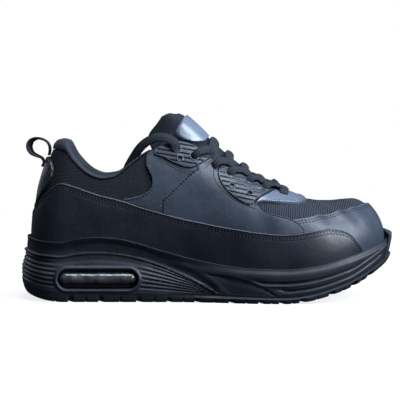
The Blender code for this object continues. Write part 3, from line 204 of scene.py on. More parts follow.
# Panels: place and rise on the lower edge, then place and rise on the upper edge. Where a table has three
# columns, both edges share one place
MUDGUARD = np.array([
    (0.0, 0.03, 0.345), (0.03, 0.03, 0.36), (0.061, 0.03, 0.393), (0.09, 0.03, 0.43), (0.115, 0.03, 0.47),
    (0.142, 0.03, 0.519), (0.161, 0.03, 0.56), (0.18, 0.03, 0.592), (0.2, 0.03, 0.622),
    (0.222, 0.03, 0.654), (0.245, 0.03, 0.684), (0.268, 0.03, 0.71), (0.29, 0.03, 0.729),
    (0.308, 0.03, 0.738), (0.324, 0.03, 0.733), (0.346, 0.03, 0.704), (0.373, 0.03, 0.645),
    (0.399, 0.03, 0.576), (0.423, 0.03, 0.522), (0.446, 0.03, 0.483), (0.467, 0.03, 0.449),
    (0.487, 0.03, 0.416), (0.505, 0.03, 0.389), (0.524, 0.03, 0.368), (0.545, 0.03, 0.352),
    (0.576, 0.03, 0.336), (0.605, 0.03, 0.328), (0.635, 0.03, 0.328), (0.665, 0.03, 0.337),
    (0.695, 0.03, 0.352), (0.72, 0.03, 0.362), (0.74, 0.03, 0.364), (0.756, 0.03, 0.359),
    (0.769, 0.03, 0.346), (0.78, 0.03, 0.32), (0.79, 0.03, 0.278), (0.8, 0.03, 0.207), (0.812, 0.03, 0.137),
    (0.821, 0.03, 0.085),
])
TOE_CAP = np.array([
    (0.668, 0.32, 0.461), (0.677, 0.33, 0.47), (0.692, 0.335, 0.482), (0.707, 0.338, 0.493),
    (0.727, 0.338, 0.506), (0.75, 0.335, 0.524), (0.768, 0.315, 0.541), (0.787, 0.26, 0.56),
    (0.803, 0.17, 0.577), (0.821, 0.08, 0.594), (0.834, 0.03, 0.604), (0.862, 0.03, 0.625),
    (0.893, 0.03, 0.647), (0.925, 0.03, 0.67), (0.957, 0.03, 0.693), (0.98, 0.03, 0.708), (1.0, 0.03, 0.72),
])
HEEL_TAB = np.array([
    (0.0, 0.372, 0.815), (0.036, 0.392, 0.813), (0.071, 0.44, 0.803), (0.1, 0.5, 0.792),
    (0.121, 0.552, 0.772), (0.136, 0.6, 0.738), (0.145, 0.645, 0.7),
])
PLATE_LOWER = np.array([
    (0.622, 0.548, 0.629, 0.555), (0.614, 0.556, 0.634, 0.575), (0.606, 0.578, 0.639, 0.6),
    (0.5995, 0.61, 0.645, 0.628), (0.595, 0.65, 0.651, 0.657), (0.5935, 0.7, 0.659, 0.702),
    (0.595, 0.76, 0.669, 0.762), (0.5995, 0.825, 0.679, 0.825), (0.605, 0.89, 0.688, 0.888),
    (0.611, 0.95, 0.697, 0.945), (0.616, 0.99, 0.703, 0.99),
])
PLATE_SKIN_UPPER = np.array([
    (0.48, 0.95, 0.483, 0.992), (0.488, 0.92, 0.49, 0.992), (0.5, 0.879, 0.502, 0.992),
    (0.51, 0.835, 0.512, 0.992), (0.521, 0.797, 0.523, 0.992), (0.533, 0.772, 0.535, 0.992),
    (0.545, 0.768, 0.547, 0.99), (0.558, 0.788, 0.559, 0.988), (0.569, 0.818, 0.57, 0.985),
    (0.58, 0.86, 0.58, 0.982), (0.589, 0.915, 0.589, 0.978), (0.594, 0.96, 0.594, 0.974),
])
THROAT_PIECE = np.array([
    (0.631, 0.556, 0.631, 0.56), (0.643, 0.607, 0.646, 0.64), (0.659, 0.643, 0.67, 0.77),
    (0.677, 0.667, 0.685, 0.865), (0.7, 0.686, 0.701, 0.962), (0.722, 0.697, 0.722, 0.97),
    (0.742, 0.725, 0.738, 0.97), (0.76, 0.79, 0.75, 0.98), (0.775, 0.89, 0.755, 0.99),
    (0.788, 1.0, 0.757, 1.0),
])
# The leather quarter starts on the mudguard's line and goes round the heel cloth and up to the throat
QUARTER_SKIN = np.array([
    (0.372, 0.64, 0.378, 0.66), (0.386, 0.61, 0.396, 0.648), (0.402, 0.575, 0.415, 0.646),
    (0.418, 0.54, 0.433, 0.657), (0.434, 0.505, 0.448, 0.68), (0.45, 0.478, 0.458, 0.708),
    (0.464, 0.45, 0.464, 0.745), (0.476, 0.43, 0.466, 0.79), (0.487, 0.405, 0.463, 0.845),
    (0.497, 0.388, 0.461, 0.9), (0.507, 0.376, 0.466, 0.985), (0.52, 0.362, 0.49, 0.992),
    (0.54, 0.35, 0.525, 0.992), (0.56, 0.34, 0.555, 0.992), (0.58, 0.33, 0.58, 0.992),
    (0.6, 0.32, 0.602, 0.992), (0.616, 0.32, 0.618, 0.97), (0.628, 0.32, 0.63, 0.8),
    (0.636, 0.322, 0.637, 0.62), (0.645, 0.325, 0.645, 0.52), (0.655, 0.33, 0.655, 0.508),
    (0.667, 0.34, 0.667, 0.497), (0.679, 0.345, 0.679, 0.478), (0.688, 0.35, 0.688, 0.425),
    (0.692, 0.352, 0.692, 0.36),
])
MUDGUARD_SEAMS = (0.0029, 0.0051)
TOE_CAP_SEAMS = (0.0024, 0.0045)
HEEL_TAB_RIBS = 0.0036
# Rows of points near a panel's edges, by distance in metres
EDGE_ROWS = np.array([
    0, 0.05, 0.13, 0.26, 0.42, 0.6, 0.8, 1.0, 1.25, 1.5, 1.75, 2.0, 2.25, 2.5, 2.8, 3.1,
]) / 1000
SEAM_ROWS = np.array([3.4, 3.7, 4.0, 4.25, 4.5, 4.75, 5.0, 5.4, 6.0]) / 1000

# Seams on the quarter, as places and rises: the diagonal one, and those round the lower and the upper plate
DIAGONAL_SEAM = (
    (0.56, 0.76), (0.54, 0.708), (0.522, 0.662), (0.505, 0.628), (0.492, 0.604), (0.476, 0.574),
    (0.465, 0.553),
)
BORDER_LOWER = ((0.63, 0.532), (0.618, 0.536), (0.608, 0.552), (0.598, 0.58), (0.5905, 0.62), (0.587, 0.665),
                (0.586, 0.715), (0.589, 0.775), (0.5945, 0.835))
BORDER_UPPER = ((0.487, 0.905), (0.5, 0.862), (0.512, 0.812), (0.524, 0.77), (0.537, 0.746), (0.55, 0.748),
                (0.563, 0.775), (0.576, 0.82), (0.588, 0.88), (0.598, 0.95))
# The eyelet plates: slant of their grooves in degrees, where the first one lies, the holes besides the
# eyelets by place and rise, and the eyelets that they carry
PLATES = {
    "upper": {"slant": 9.0, "shift": 0.35, "holes": ((0.53, 0.842),), "eyelets": (0, 1)},
    "lower": {"slant": 12.0, "shift": 0.1, "holes": ((0.61, 0.7), (0.638, 0.688)), "eyelets": (3, 4, 5)},
}
PLATE_GROOVES = 0.00335
PLATE_HOLE = 0.0021
EYELET_HOLE = 0.003

# The tongue's outside down its middle: station, share of the length, share of the collar height, half-width
# as a share of the heel width, then as shares of the collar height the drop of its edges, its thickness, and
# how far the wings at its edges reach back and up
TONGUE = np.array([
    (0.0, 0.4217, 1.19, 0.3, 0.127, 0.044, 0.0, 0.112),
    (0.1, 0.4483, 1.143, 0.281, 0.131, 0.056, 0.11, 0.07),
    (0.2, 0.4783, 1.079, 0.258, 0.131, 0.056, 0.23, 0.026),
    (0.3, 0.51, 1.002, 0.25, 0.131, 0.052, 0.25, 0.0), (0.36, 0.534, 0.951, 0.27, 0.142, 0.05, 0.13, 0.0),
    (0.42, 0.5583, 0.902, 0.3, 0.151, 0.048, 0.0, 0.0), (0.54, 0.6083, 0.808, 0.325, 0.151, 0.04, 0.0, 0.0),
    (0.66, 0.655, 0.73, 0.325, 0.135, 0.036, 0.0, 0.0), (0.78, 0.7017, 0.658, 0.325, 0.12, 0.034, 0.0, 0.0),
    (0.85, 0.725, 0.626, 0.313, 0.111, 0.032, 0.0, 0.0),
    (0.92, 0.7567, 0.604, 0.288, 0.095, 0.028, 0.0, 0.0),
    (1.0, 0.7933, 0.592, 0.25, 0.071, 0.024, 0.0, 0.0),
])
TONGUE_BEND = 1.7
WING_BEND = 6.0
WING_LIFT_BEND = 2.0
# The tongue's patch: station, half its width as a share of the tongue's
TONGUE_PATCH = np.array([
    (0.07, 0.34), (0.086, 0.58), (0.112, 0.74), (0.15, 0.825), (0.195, 0.825), (0.236, 0.74), (0.262, 0.6),
    (0.274, 0.44),
])

# Eyelets from the collar down: place and rise on the upper, and the place where the lace crosses its edge
EYELETS = np.array([
    (0.527, 0.925, 0.548), (0.56, 0.875, 0.59), (0.595, 0.862, 0.618), (0.618, 0.854, 0.641),
    (0.65, 0.896, 0.664), (0.672, 0.875, 0.688), (0.705, 0.846, 0.722),
])
# A crossing's two strands: share of the way across the throat, height of the band's middle over the tongue
LACE_LIFTS_TOP = (
    (0.12, 0.0078), (0.24, 0.0056), (0.36, 0.0038), (0.5, 0.0032), (0.64, 0.0027), (0.76, 0.0019),
    (1.0, 0.0017),
)
LACE_LIFTS_BOTTOM = (
    (0.12, 0.0076), (0.24, 0.005), (0.36, 0.003), (0.5, 0.002), (0.76, 0.0018), (1.0, 0.0017),
)
LACE_END_INSET = 0.0042
# Extra height where a strand comes off its plate, for each eyelet from the collar down
LACE_START_LIFT = (0.0, 0.0016, 0.0014, 0.0013, 0.0014, 0.0054)
LACE_THICKNESS = 0.0018
LACE_OVER = PLATE_STACK + 2 * GAP + LACE_THICKNESS / 2
CROSSING_WIDTHS = (0.0058, 0.0074, 0.0078, 0.0074, 0.007, 0.0066)
BAR_WIDTHS = (0.0066, 0.0074, 0.0072, 0.0074, 0.0066)
LACE_END_WIDTH = 0.0072
# The cords along a woven band: how high they stand, and how far apart they are in millimetres
BAND_RELIEF = 0.00022
BAND_CORD = 1.25
# The free end of the lace, from the top outer eyelet back over the collar and down inside
LACE_END = (
    (-0.025, -0.0322, 0.1206), (-0.0262, -0.0322, 0.1252), (-0.032, -0.0312, 0.129),
    (-0.04, -0.029, 0.1294), (-0.047, -0.027, 0.1268), (-0.0533, -0.0245, 0.1215),
    (-0.0585, -0.0212, 0.114), (-0.063, -0.019, 0.106), (-0.066, -0.0178, 0.097), (-0.0665, -0.0172, 0.088),
)

# Padded collar: the roll's section from its outer seam over the top and down inside, as shares of its depth
# (out, up) from the top line, and its depth, by place along the side
COLLAR_DEPTH = 0.009
COLLAR_REACH = 0.465
COLLAR_SECTION = (
    (-0.1, 0.08), (-0.45, 0.12), (-0.82, -0.1), (-1.0, -0.6), (-1.02, -1.2), (-0.88, -1.75),
)
COLLAR_SIZE = np.array([
    (0.0, 1.0), (0.2, 1.0), (0.3, 0.9), (0.36, 0.85), (0.42, 0.8), (0.464, 0.6), (1.0, 0.5),
])
# The pull loop's centre line at the heel, from the collar's top round to the heel tab: x and z in metres, and
# how far the band is twisted there, in degrees
PULL_LOOP = (
    (-0.1277, 0.1148, 0), (-0.1272, 0.1175, 0), (-0.127, 0.1206, 0), (-0.1288, 0.125, 2),
    (-0.133, 0.1277, 3), (-0.138, 0.1283, 6), (-0.1423, 0.126, 14), (-0.1437, 0.1216, 18),
    (-0.1418, 0.117, 11), (-0.137, 0.1142, 3), (-0.1336, 0.1126, 0), (-0.1318, 0.1094, 0),
    (-0.1333, 0.1058, 0),
)
PULL_LOOP_WIDTH = 0.012
PULL_LOOP_THICKNESS = 0.0016

# A stitch's rings: share of half its length, size, and how deep they sink, as a share of its radius
STITCH_RINGS = ((-1.0, 0.45, 1.5), (-0.72, 0.9, 0.4), (0.0, 1.0, 0.0), (0.72, 0.9, 0.4), (1.0, 0.45, 1.5))
FINE = {"pitch": 0.0019, "length": 0.0014}
SEAM_COLOUR = (0.0012, 0.0014, 0.002)

# The camera: tilt in degrees, distance in metres, angle of view; and the floor, just under the sole
CAMERA_TILT = 3.5
CAMERA_DISTANCE = 1.3
CAMERA_ANGLE = 2 * math.atan(200 / 1607.7)
FLOOR_LEVEL = -0.0002

SLOPES = {}
THREADS = {}


def smooth(table, column, at):
    """A smooth curve through one column of a table, which never overshoots its rows."""
    keys, values = table[:, 0], table[:, column]
    steps = np.diff(keys)
    known = SLOPES.get((id(table), column))
    if known is None:
        secants = np.diff(values) / steps
        slopes = np.empty_like(values)
        slopes[0], slopes[-1] = secants[0], secants[-1]
        before, after = secants[:-1], secants[1:]
        same = before * after > 0
        slopes[1:-1] = np.where(same, 2 * before * after / np.where(same, before + after, 1), 0)
        SLOPES[(id(table), column)] = known = (slopes, table)
    slopes = known[0]
    at = np.clip(at, keys[0], keys[-1])
    i = np.clip(np.searchsorted(keys, at) - 1, 0, len(steps) - 1)
    t = (at - keys[i]) / steps[i]
    u = 1 - t
    return (
        u * u * ((1 + 2 * t) * values[i] + t * steps[i] * slopes[i])
        + t * t * ((3 - 2 * t) * values[i + 1] - u * steps[i] * slopes[i + 1])
    )


def ease(low, high, at):
    """0 below low, 1 above high, and a soft change between them."""
    t = np.clip((np.asarray(at, float) - low) / (high - low), 0, 1)
    return t * t * (3 - 2 * t)


def fold(turn):
    """The side, -1 outer or +1 inner, and the place along it, 0 at the heel and 1 at the toe tip."""
    turn = np.mod(turn, 1.0)
    outer = turn <= 0.5
    return np.where(outer, -1.0, 1.0), np.where(outer, 2 * turn, 2 - 2 * turn)


def turn_at(place, side):
    """The turn at a place along the outer (-1) or the inner (+1) side."""
    return place / 2 if side < 0 else 1 - place / 2


def length_share(place):
    """Share of the length that belongs to a place along the side. Places crowd towards heel and toe."""
    return (1 - np.cos(math.pi * place)) / 2


def share_at(x):
    return x / LENGTH + 0.5


def outline_point(turn):
    side, place = fold(turn)
    share = length_share(place)
    width = HEEL_WIDTH + (BALL_WIDTH - HEEL_WIDTH) * ease(*HEEL_TO_BALL, share)
    half = width * np.where(side < 0, smooth(PLAN, 2, share), smooth(PLAN, 3, share))
    heel = np.clip((HEEL_ROUND - share) / HEEL_ROUND, 0, 1)
    toe = np.clip((share - 1 + TOE_ROUND) / TOE_ROUND, 0, 1)
    rounding = (1 - np.maximum(heel, toe) ** ROUND_POWER) ** (1 / ROUND_POWER)
    centre = BALL_WIDTH * smooth(PLAN, 1, share)
    return np.stack([(share - 0.5) * LENGTH, centre + side * half * rounding], -1)


def outline_normal(turn):
    step = 0.004
    along = outline_point(turn + step) - outline_point(turn - step)
    out = np.stack([along[..., 1], -along[..., 0]], -1)
    return out / np.linalg.norm(out, axis=-1, keepdims=True)


def outline(turn, out=0.0):
    """The sole's outline seen from above, moved outwards by out."""
    return outline_point(turn) + outline_normal(turn) * np.asarray(out)[..., None]


def rim_height(share):
    return RIM_HEIGHT * smooth(RIM, 1, share)


def footbed_height(share):
    return FOOTBED_HEIGHT * smooth(FOOTBED, 1, share)


def floor_height(share):
    return TOE_SPRING * smooth(FLOOR, 1, share)


def outsole_height(share):
    return floor_height(share) + OUTSOLE_LINE * smooth(OUTSOLE, 1, share)


def top_point(turn):
    """The upper's top line: collar, throat edge, then the ridge of the vamp, which both sides share."""
    side, place = fold(turn)
    x = (smooth(TOP, 1, place) - 0.5) * LENGTH
    y = HEEL_WIDTH * (smooth(TOP, 2, place) + side * smooth(TOP, 3, place))
    z = COLLAR_HEIGHT * smooth(TOP, 4, place) + TOE_HEIGHT * smooth(TOP, 5, place)
    return np.stack([x, y, z], -1)


def ridge_slope(place):
    step = 0.01
    ahead, behind = top_point((place + step) / 2), top_point((place - step) / 2)
    slope = (ahead - behind)[..., 2] / np.maximum((ahead - behind)[..., 0], 1e-4)
    return slope * ease(THROAT_BASE - 0.05, THROAT_BASE, place)


def soft_top(turn):
    """The top line, evened out over the toe."""
    reach = 0.011 * ease(0.7, 0.8, fold(turn)[1])
    weights = ((-1, 0.15), (-0.5, 0.22), (0, 0.26), (0.5, 0.22), (1, 0.15))
    return sum(weight * top_point(turn + shift * reach) for shift, weight in weights)


def upper_point(turn, rise):
    """A point on the outside of the bare upper."""
    turn, rise = np.broadcast_arrays(np.asarray(turn, float), np.asarray(rise, float))
    place = fold(turn)[1]
    inset = BALL_WIDTH * smooth(INSET, 1, length_share(place))
    foot = outline(turn, -inset)
    bottom = np.concatenate([foot, footbed_height(share_at(foot[..., :1]))], -1)
    top = soft_top(turn)
    out = outline_normal(turn)
    lower_out, upper_out = (BALL_WIDTH * smooth(FULLNESS, column, place) for column in (1, 3))
    lower_up, upper_up = (COLLAR_HEIGHT * smooth(FULLNESS, column, place) for column in (2, 4))
    upper_up = upper_up + ridge_slope(np.minimum(place, 0.985)) * out[..., 0] * upper_out
    lower = bottom + np.concatenate([out * lower_out[..., None], lower_up[..., None]], -1)
    upper = top + np.concatenate([out * upper_out[..., None], upper_up[..., None]], -1)
    t = rise[..., None]
    return bottom * (1 - t) ** 3 + lower * 3 * t * (1 - t) ** 2 + upper * 3 * t**2 * (1 - t) + top * t**3


def upper_normal(turn, rise):
    """The outward direction of the upper at a point."""
    turn, rise = np.broadcast_arrays(np.asarray(turn, float), np.asarray(rise, float))
    ridge = (rise > 0.985) & (fold(turn)[1] >= THROAT_BASE - 1e-6)
    level = np.clip(rise, 0.004, np.where(ridge, 0.97, 0.996))

    def one_side(at):
        round_step, rise_step = 0.003, 0.004
        around = upper_point(at + round_step, level) - upper_point(at - round_step, level)
        up = upper_point(at, level + rise_step) - upper_point(at, level - rise_step)
        normal = np.cross(around, up)
        return normal / np.linalg.norm(normal, axis=-1, keepdims=True)

    normal = one_side(turn)
    both = normal + one_side(1 - turn)
    both = both / np.maximum(np.linalg.norm(both, axis=-1, keepdims=True), 1e-9)
    return np.where(ridge[..., None], both, normal)


def surface(turn, rise, out=0.0):
    """A point at a distance out from the upper's outside; a negative distance goes into its wall."""
    return upper_point(turn, rise) + upper_normal(turn, rise) * np.asarray(out)[..., None]


def rise_at(turns, heights):
    """How far up the upper each height lies, at each turn."""
    levels = np.linspace(0, 0.6, 61)
    found = upper_point(turns[:, None], levels[None, :])[..., 2]
    return np.array([np.interp(h, row, levels) for h, row in zip(heights, found)])


def wall_top(place):
    return 1 - smooth(COLLAR_DROP, 1, place)


def sole_side(turn, level):
    """A point on the midsole's side wall, from the outsole's line (0) to its rim (1)."""
    turn, level = np.broadcast_arrays(np.asarray(turn, float), np.asarray(level, float))
    _, place = fold(turn)
    share = length_share(place)
    forefoot = ease(0.35, 0.58, share)
    relief = smooth(WALL, 1, level) * (1 - forefoot) + smooth(WALL, 2, level) * forefoot
    toe = ease(0.905, 0.94, place)
    out = WALL_RELIEF * relief - toe * (BUMPER_THICKNESS + GAP)
    flat = outline(turn, out)
    rim = rim_height(share)
    edge = rim_point(turn)
    blend = ease(0.8, 1.0, level)[..., None]
    flat = flat * (1 - blend) + edge[..., :2] * blend
    low = outsole_height(share_at(flat[..., 0])) + GAP
    return np.concatenate([flat, (low + (rim - low) * level)[..., None]], -1)


def rim_point(turn):
    """The outer edge of the midsole's rim, which stands a set distance outside the upper."""
    flat_turn, back = np.unique(np.ravel(turn), return_inverse=True)
    height = rim_height(length_share(fold(flat_turn)[1]))
    point = surface(flat_turn, rise_at(flat_turn, height), RIM_OUT)
    point[:, 2] = height
    return point[back.ravel()].reshape(np.shape(turn) + (3,))


def window_wall(side):
    """How far out the sole's side lies at the middle of the window."""
    place = math.acos(1 - 2 * share_at(WINDOW["centre"][0])) / math.pi
    return abs(float(sole_side(turn_at(place, side), 0.3)[1]))


def bumper_point(turn, fraction, rise, toe, outside):
    """A point on the bumper's outer (1) or inner (0) face, from the outsole's line up to its top."""
    base = sole_side(turn, np.zeros(turn.shape))
    line = outsole_height(share_at(base[:, 0]))
    height = line + (BUMPER_HEIGHT - line) * rise * fraction
    rim = rim_height(length_share(fold(turn)[1]))
    level = np.clip((height - line - GAP) / (rim - line - GAP), 0, 1)
    free = 1 - ease(0.0, BUMPER_HUG, height - rim)
    above = surface(turn, rise_at(turn, np.maximum(height, rim)), CAP_STACK + (RIM_OUT - CAP_STACK) * free)
    wall = np.where((height > rim)[:, None], above, sole_side(turn, level))
    thick = (BUMPER_THICKNESS - GAP) * (1.0 - 0.25 * fraction) * (0.35 + 0.65 * free)
    out = toe * (2 * GAP + thick * outside) - BUMPER_TUCK * (1 - toe) * (1 - outside)
    flat = wall[:, :2] + outline_normal(turn) * out[:, None]
    return np.concatenate([flat, (height - line + outsole_height(share_at(flat[:, 0])))[:, None]], -1)


def tongue_point(station, across):
    """A point on the tongue's outside; across runs from -1 at its outer edge to 1 at its inner edge."""
    station, across = np.broadcast_arrays(np.asarray(station, float), np.asarray(across, float))
    station = station + 0.045 * np.abs(across) ** 6 * (1 - station)

    def middle(at):
        x = (smooth(TONGUE, 1, at) - 0.5) * LENGTH
        return np.stack([x, np.zeros_like(x), COLLAR_HEIGHT * smooth(TONGUE, 2, at)], -1)

    ahead, behind = middle(np.clip(station + 0.02, 0, 1)), middle(np.clip(station - 0.02, 0, 1))
    along = ahead - behind
    inward = np.stack([along[..., 2], np.zeros_like(station), -along[..., 0]], -1)
    inward = inward / np.linalg.norm(inward, axis=-1, keepdims=True)
    drop = COLLAR_HEIGHT * smooth(TONGUE, 4, station) * np.abs(across) ** TONGUE_BEND
    point = middle(station) + inward * drop[..., None]
    back = COLLAR_HEIGHT * np.abs(across) ** WING_BEND * smooth(TONGUE, 6, station)
    lift = COLLAR_HEIGHT * np.abs(across) ** WING_LIFT_BEND * smooth(TONGUE, 7, station)
    point[..., 0] -= back
    point[..., 2] += lift
    point[..., 1] = HEEL_WIDTH * smooth(TONGUE, 3, station) * across
    return point


def tongue_surface(station, across, out=0.0):
    """A point at a distance out from the tongue's outside."""
    station, across = np.broadcast_arrays(np.asarray(station, float), np.asarray(across, float))
    s, a = np.clip(station, 0.01, 0.99), np.clip(across, -0.98, 0.98)
    along = tongue_point(s + 0.01, a) - tongue_point(s - 0.01, a)
    over = tongue_point(s, a + 0.02) - tongue_point(s, a - 0.02)
    normal = np.cross(along, over)
    normal = normal / np.linalg.norm(normal, axis=-1, keepdims=True)
    return tongue_point(station, across) + normal * np.asarray(out)[..., None], normal


def over_edge(index, side, share, out):
    """A point over the way from an eyelet (0) to the throat's edge (1), and the outward direction there."""
    place, rise, edge = EYELETS[index]
    turn = np.array([turn_at(place + (edge - place) * share, side)])
    level = np.array([rise + (1 - rise) * share])
    return surface(turn, level, out)[0], upper_normal(turn, level)[0]


def tongue_at(x, y, out):
    """The point at a distance out from the tongue that lies over (x, y), and the direction out there."""
    station, across = np.meshgrid(np.linspace(0, 1, 301), np.linspace(-1, 1, 121), indexing="ij")
    grid = tongue_point(station, across)
    near = np.unravel_index(np.argmin((grid[..., 0] - x) ** 2 + (grid[..., 1] - y) ** 2), station.shape)
    return tongue_surface(station[near], across[near], out)


def grid_faces(rows, across, wrap=False, ring=False):
    """Quads of a grid of points. wrap joins the last row to the first, ring the last column to the first."""
    i, j = np.meshgrid(np.arange(rows if wrap else rows - 1), np.arange(across if ring else across - 1),
                       indexing="ij")
    k, l = (i + 1) % rows, (j + 1) % across
    return np.stack([i * across + j, k * across + j, k * across + l, i * across + l], -1).reshape(-1, 4)


def piece(name, points, faces, look, replaces=(), uv=None, sharp=50, merge=False):
    """A shown piece that rides on the shoe, from points, faces and, in millimetres, a place on the cloth."""
    mesh = bpy.data.meshes.new(name)
    mesh.from_pydata(np.asarray(points, float).reshape(-1, 3).tolist(), [], [tuple(f) for f in faces])
    if uv is not None:
        corners = np.empty(len(mesh.loops), np.int32)
        mesh.loops.foreach_get("vertex_index", corners)
        layer = mesh.uv_layers.new(name="cloth")
        layer.data.foreach_set("uv", np.asarray(uv, np.float32).reshape(-1, 2)[corners].ravel())
    if merge:
        work = bmesh.new()
        work.from_mesh(mesh)
        bmesh.ops.remove_doubles(work, verts=work.verts, dist=2e-6)
        bmesh.ops.recalc_face_normals(work, faces=work.faces)
        work.to_mesh(mesh)
        work.free()
    mesh.materials.append(look)
    mesh.shade_smooth()
    mesh.set_sharp_from_angle(angle=math.radians(sharp))
    made = bpy.data.objects.new(name, mesh)
    bpy.context.scene.collection.objects.link(made)
    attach(made, "root")
    if replaces:
        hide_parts(*replaces)
    return made


def along(line):
    """How far along a line each of its points lies; lines run down the first axis."""
    steps = np.linalg.norm(np.diff(line, axis=0), axis=-1)
    return np.concatenate([np.zeros((1,) + steps.shape[1:]), np.cumsum(steps, axis=0)])


def unit(v):
    return v / np.maximum(np.linalg.norm(v, axis=-1, keepdims=True), 1e-12)


def rounded(d, radius):
    """0 at an edge and 1 from radius inwards, as a quarter circle."""
    t = np.clip(d / radius, 0, 1)
    return np.sqrt(1 - (1 - t) ** 2)


def dip(d, centre, width):
    """A soft hump of height 1 at centre."""
    return np.exp(-(((d - centre) / width) ** 2))


def stations(table, count, both=None, side=-1):
    """A panel's table made fine: turn and rise of its lower and upper edge at each station."""
    keys = np.arange(len(table), dtype=float)
    if table.shape[1] == 3:
        table = table[:, [0, 1, 0, 2]]
    fine = np.column_stack([keys, table])
    at = np.linspace(0, keys[-1], count)
    place_low, rise_low, place_high, rise_high = (smooth(fine, column, at) for column in (1, 2, 3, 4))

    def turns(place):
        if both == "heel":
            return np.concatenate([-place[:0:-1] / 2, place / 2])
        if both == "toe":
            return np.concatenate([place / 2, 1 - place[-2::-1] / 2])
        return turn_at(place, side)

    def rises(rise):
        if both == "heel":
            return np.concatenate([rise[:0:-1], rise])
        return np.concatenate([rise, rise[-2::-1]]) if both == "toe" else rise

    return turns(place_low), rises(rise_low), turns(place_high), rises(rise_high)


def panel(name, edges, out, look, replaces, inside=14, low_edge=True, ends=True, seam_rows=False,
          radius=0.0009, bead=0.0, flip=False, relief=None):
    """A leather panel with rolled edges between a lower and an upper edge on the upper's surface.

    relief takes where the points lie, as distances from the edges and as a place, and gives extra height.
    The result is a function that finds the line at a distance from the upper or the lower edge, for seams.
    """
    turn_low, rise_low, turn_high, rise_high = edges
    count = len(turn_low)
    share = np.linspace(0, 1, 81)[:, None]
    turn = turn_high * (1 - share) + turn_low * share
    rise = rise_high * (1 - share) + rise_low * share
    reach = along(surface(turn, rise, out))
    total = reach[-1]
    top = np.concatenate([EDGE_ROWS, SEAM_ROWS]) if seam_rows else EDGE_ROWS
    low = EDGE_ROWS if low_edge else np.zeros(1)
    squeeze = np.minimum(1, total / (1.15 * (top[-1] + low[-1]) + 1e-6))
    span = total - (top[-1] + low[-1]) * squeeze
    rows = [d * squeeze for d in top]
    rows += [top[-1] * squeeze + span * middle for middle in np.linspace(0, 1, inside + 2)[1:-1]]
    rows += [total - d * squeeze for d in low[::-1]]
    rows = np.array(rows)

    def at_rows(rows):
        found_turn, found_rise = np.empty_like(rows), np.empty_like(rows)
        for i in range(count):
            s = np.interp(rows[:, i], reach[:, i], share[:, 0])
            found_turn[:, i] = turn_high[i] * (1 - s) + turn_low[i] * s
            found_rise[:, i] = rise_high[i] * (1 - s) + rise_low[i] * s
        return found_turn, found_rise

    turn, rise = at_rows(rows)
    flat = surface(turn, rise, out)
    across = along(np.swapaxes(flat, 0, 1)).T
    spot = SimpleNamespace(top=rows, low=total - rows, across=across, far=across[:, -1:] - across, flat=flat,
                           place=fold(turn)[1])
    near = np.minimum.reduce([spot.top] + [spot.low] * low_edge + [spot.across, spot.far] * ends)
    height = out * rounded(near, radius) + bead * dip(near, 0.0011, 0.0007)
    if relief:
        spot.inside = np.minimum.reduce([spot.top, spot.low, spot.across, spot.far])
        height = height + relief(spot)
    edge = along(surface(turn_high, rise_high, out))
    uv = np.stack([np.broadcast_to(edge, rows.shape) * 1000, rows * 1000], -1)
    faces = grid_faces(*rows.shape)
    faces = faces if flip else faces[:, ::-1]
    piece(name, surface(turn, rise, height), faces, look, replaces, uv, sharp=70)

    def seam(distance, from_low=False, first=0.0, last=1.0, lift=0.0):
        a, b = int(first * (count - 1)), int(last * (count - 1)) + 1
        d = total - distance if from_low else distance + 0 * total
        t, r = (found[0, a:b] for found in at_rows(np.clip(d, 0, total)[None, :]))
        return surface(t, r, out + lift), upper_normal(t, r)

    return seam


def stitches(line, normals, group, pitch=0.0027, length=0.0017, radius=0.00046, sink=0.00012):
    """One row of stitches along a line, kept in its group until the thread pieces are made."""
    reach = along(line)
    count = max(1, int(reach[-1] / pitch))
    centres = (np.arange(count) + 0.5) * reach[-1] / count

    def at(d, values):
        return np.stack([np.interp(d, reach, values[:, c]) for c in range(3)], -1)

    middle, up = at(centres, line), unit(at(centres, normals))
    ahead = unit(at(centres + length / 2, line) - at(centres - length / 2, line))
    side = unit(np.cross(up, ahead))
    rings = []
    for share, scale, drop in STITCH_RINGS:
        for k in range(6):
            angle = math.pi * k / 3
            rings.append((share * length / 2, math.cos(angle) * radius * scale * 1.2,
                          math.sin(angle) * radius * scale - drop * radius - sink))
    local = np.array(rings)
    points = (middle[:, None] + ahead[:, None] * local[None, :, :1] + side[:, None] * local[None, :, 1:2]
              + up[:, None] * local[None, :, 2:])
    THREADS.setdefault(group, []).append(points.reshape(-1, 3))


def make_threads(look):
    single = [tuple(f) for f in grid_faces(5, 6, ring=True)] + [(0, 1, 2, 3, 4, 5), (29, 28, 27, 26, 25, 24)]
    for group, sets in THREADS.items():
        points = np.concatenate(sets)
        faces = [tuple(30 * n + k for k in f) for n in range(len(points) // 30) for f in single]
        piece(group, points, faces, look, sharp=80)


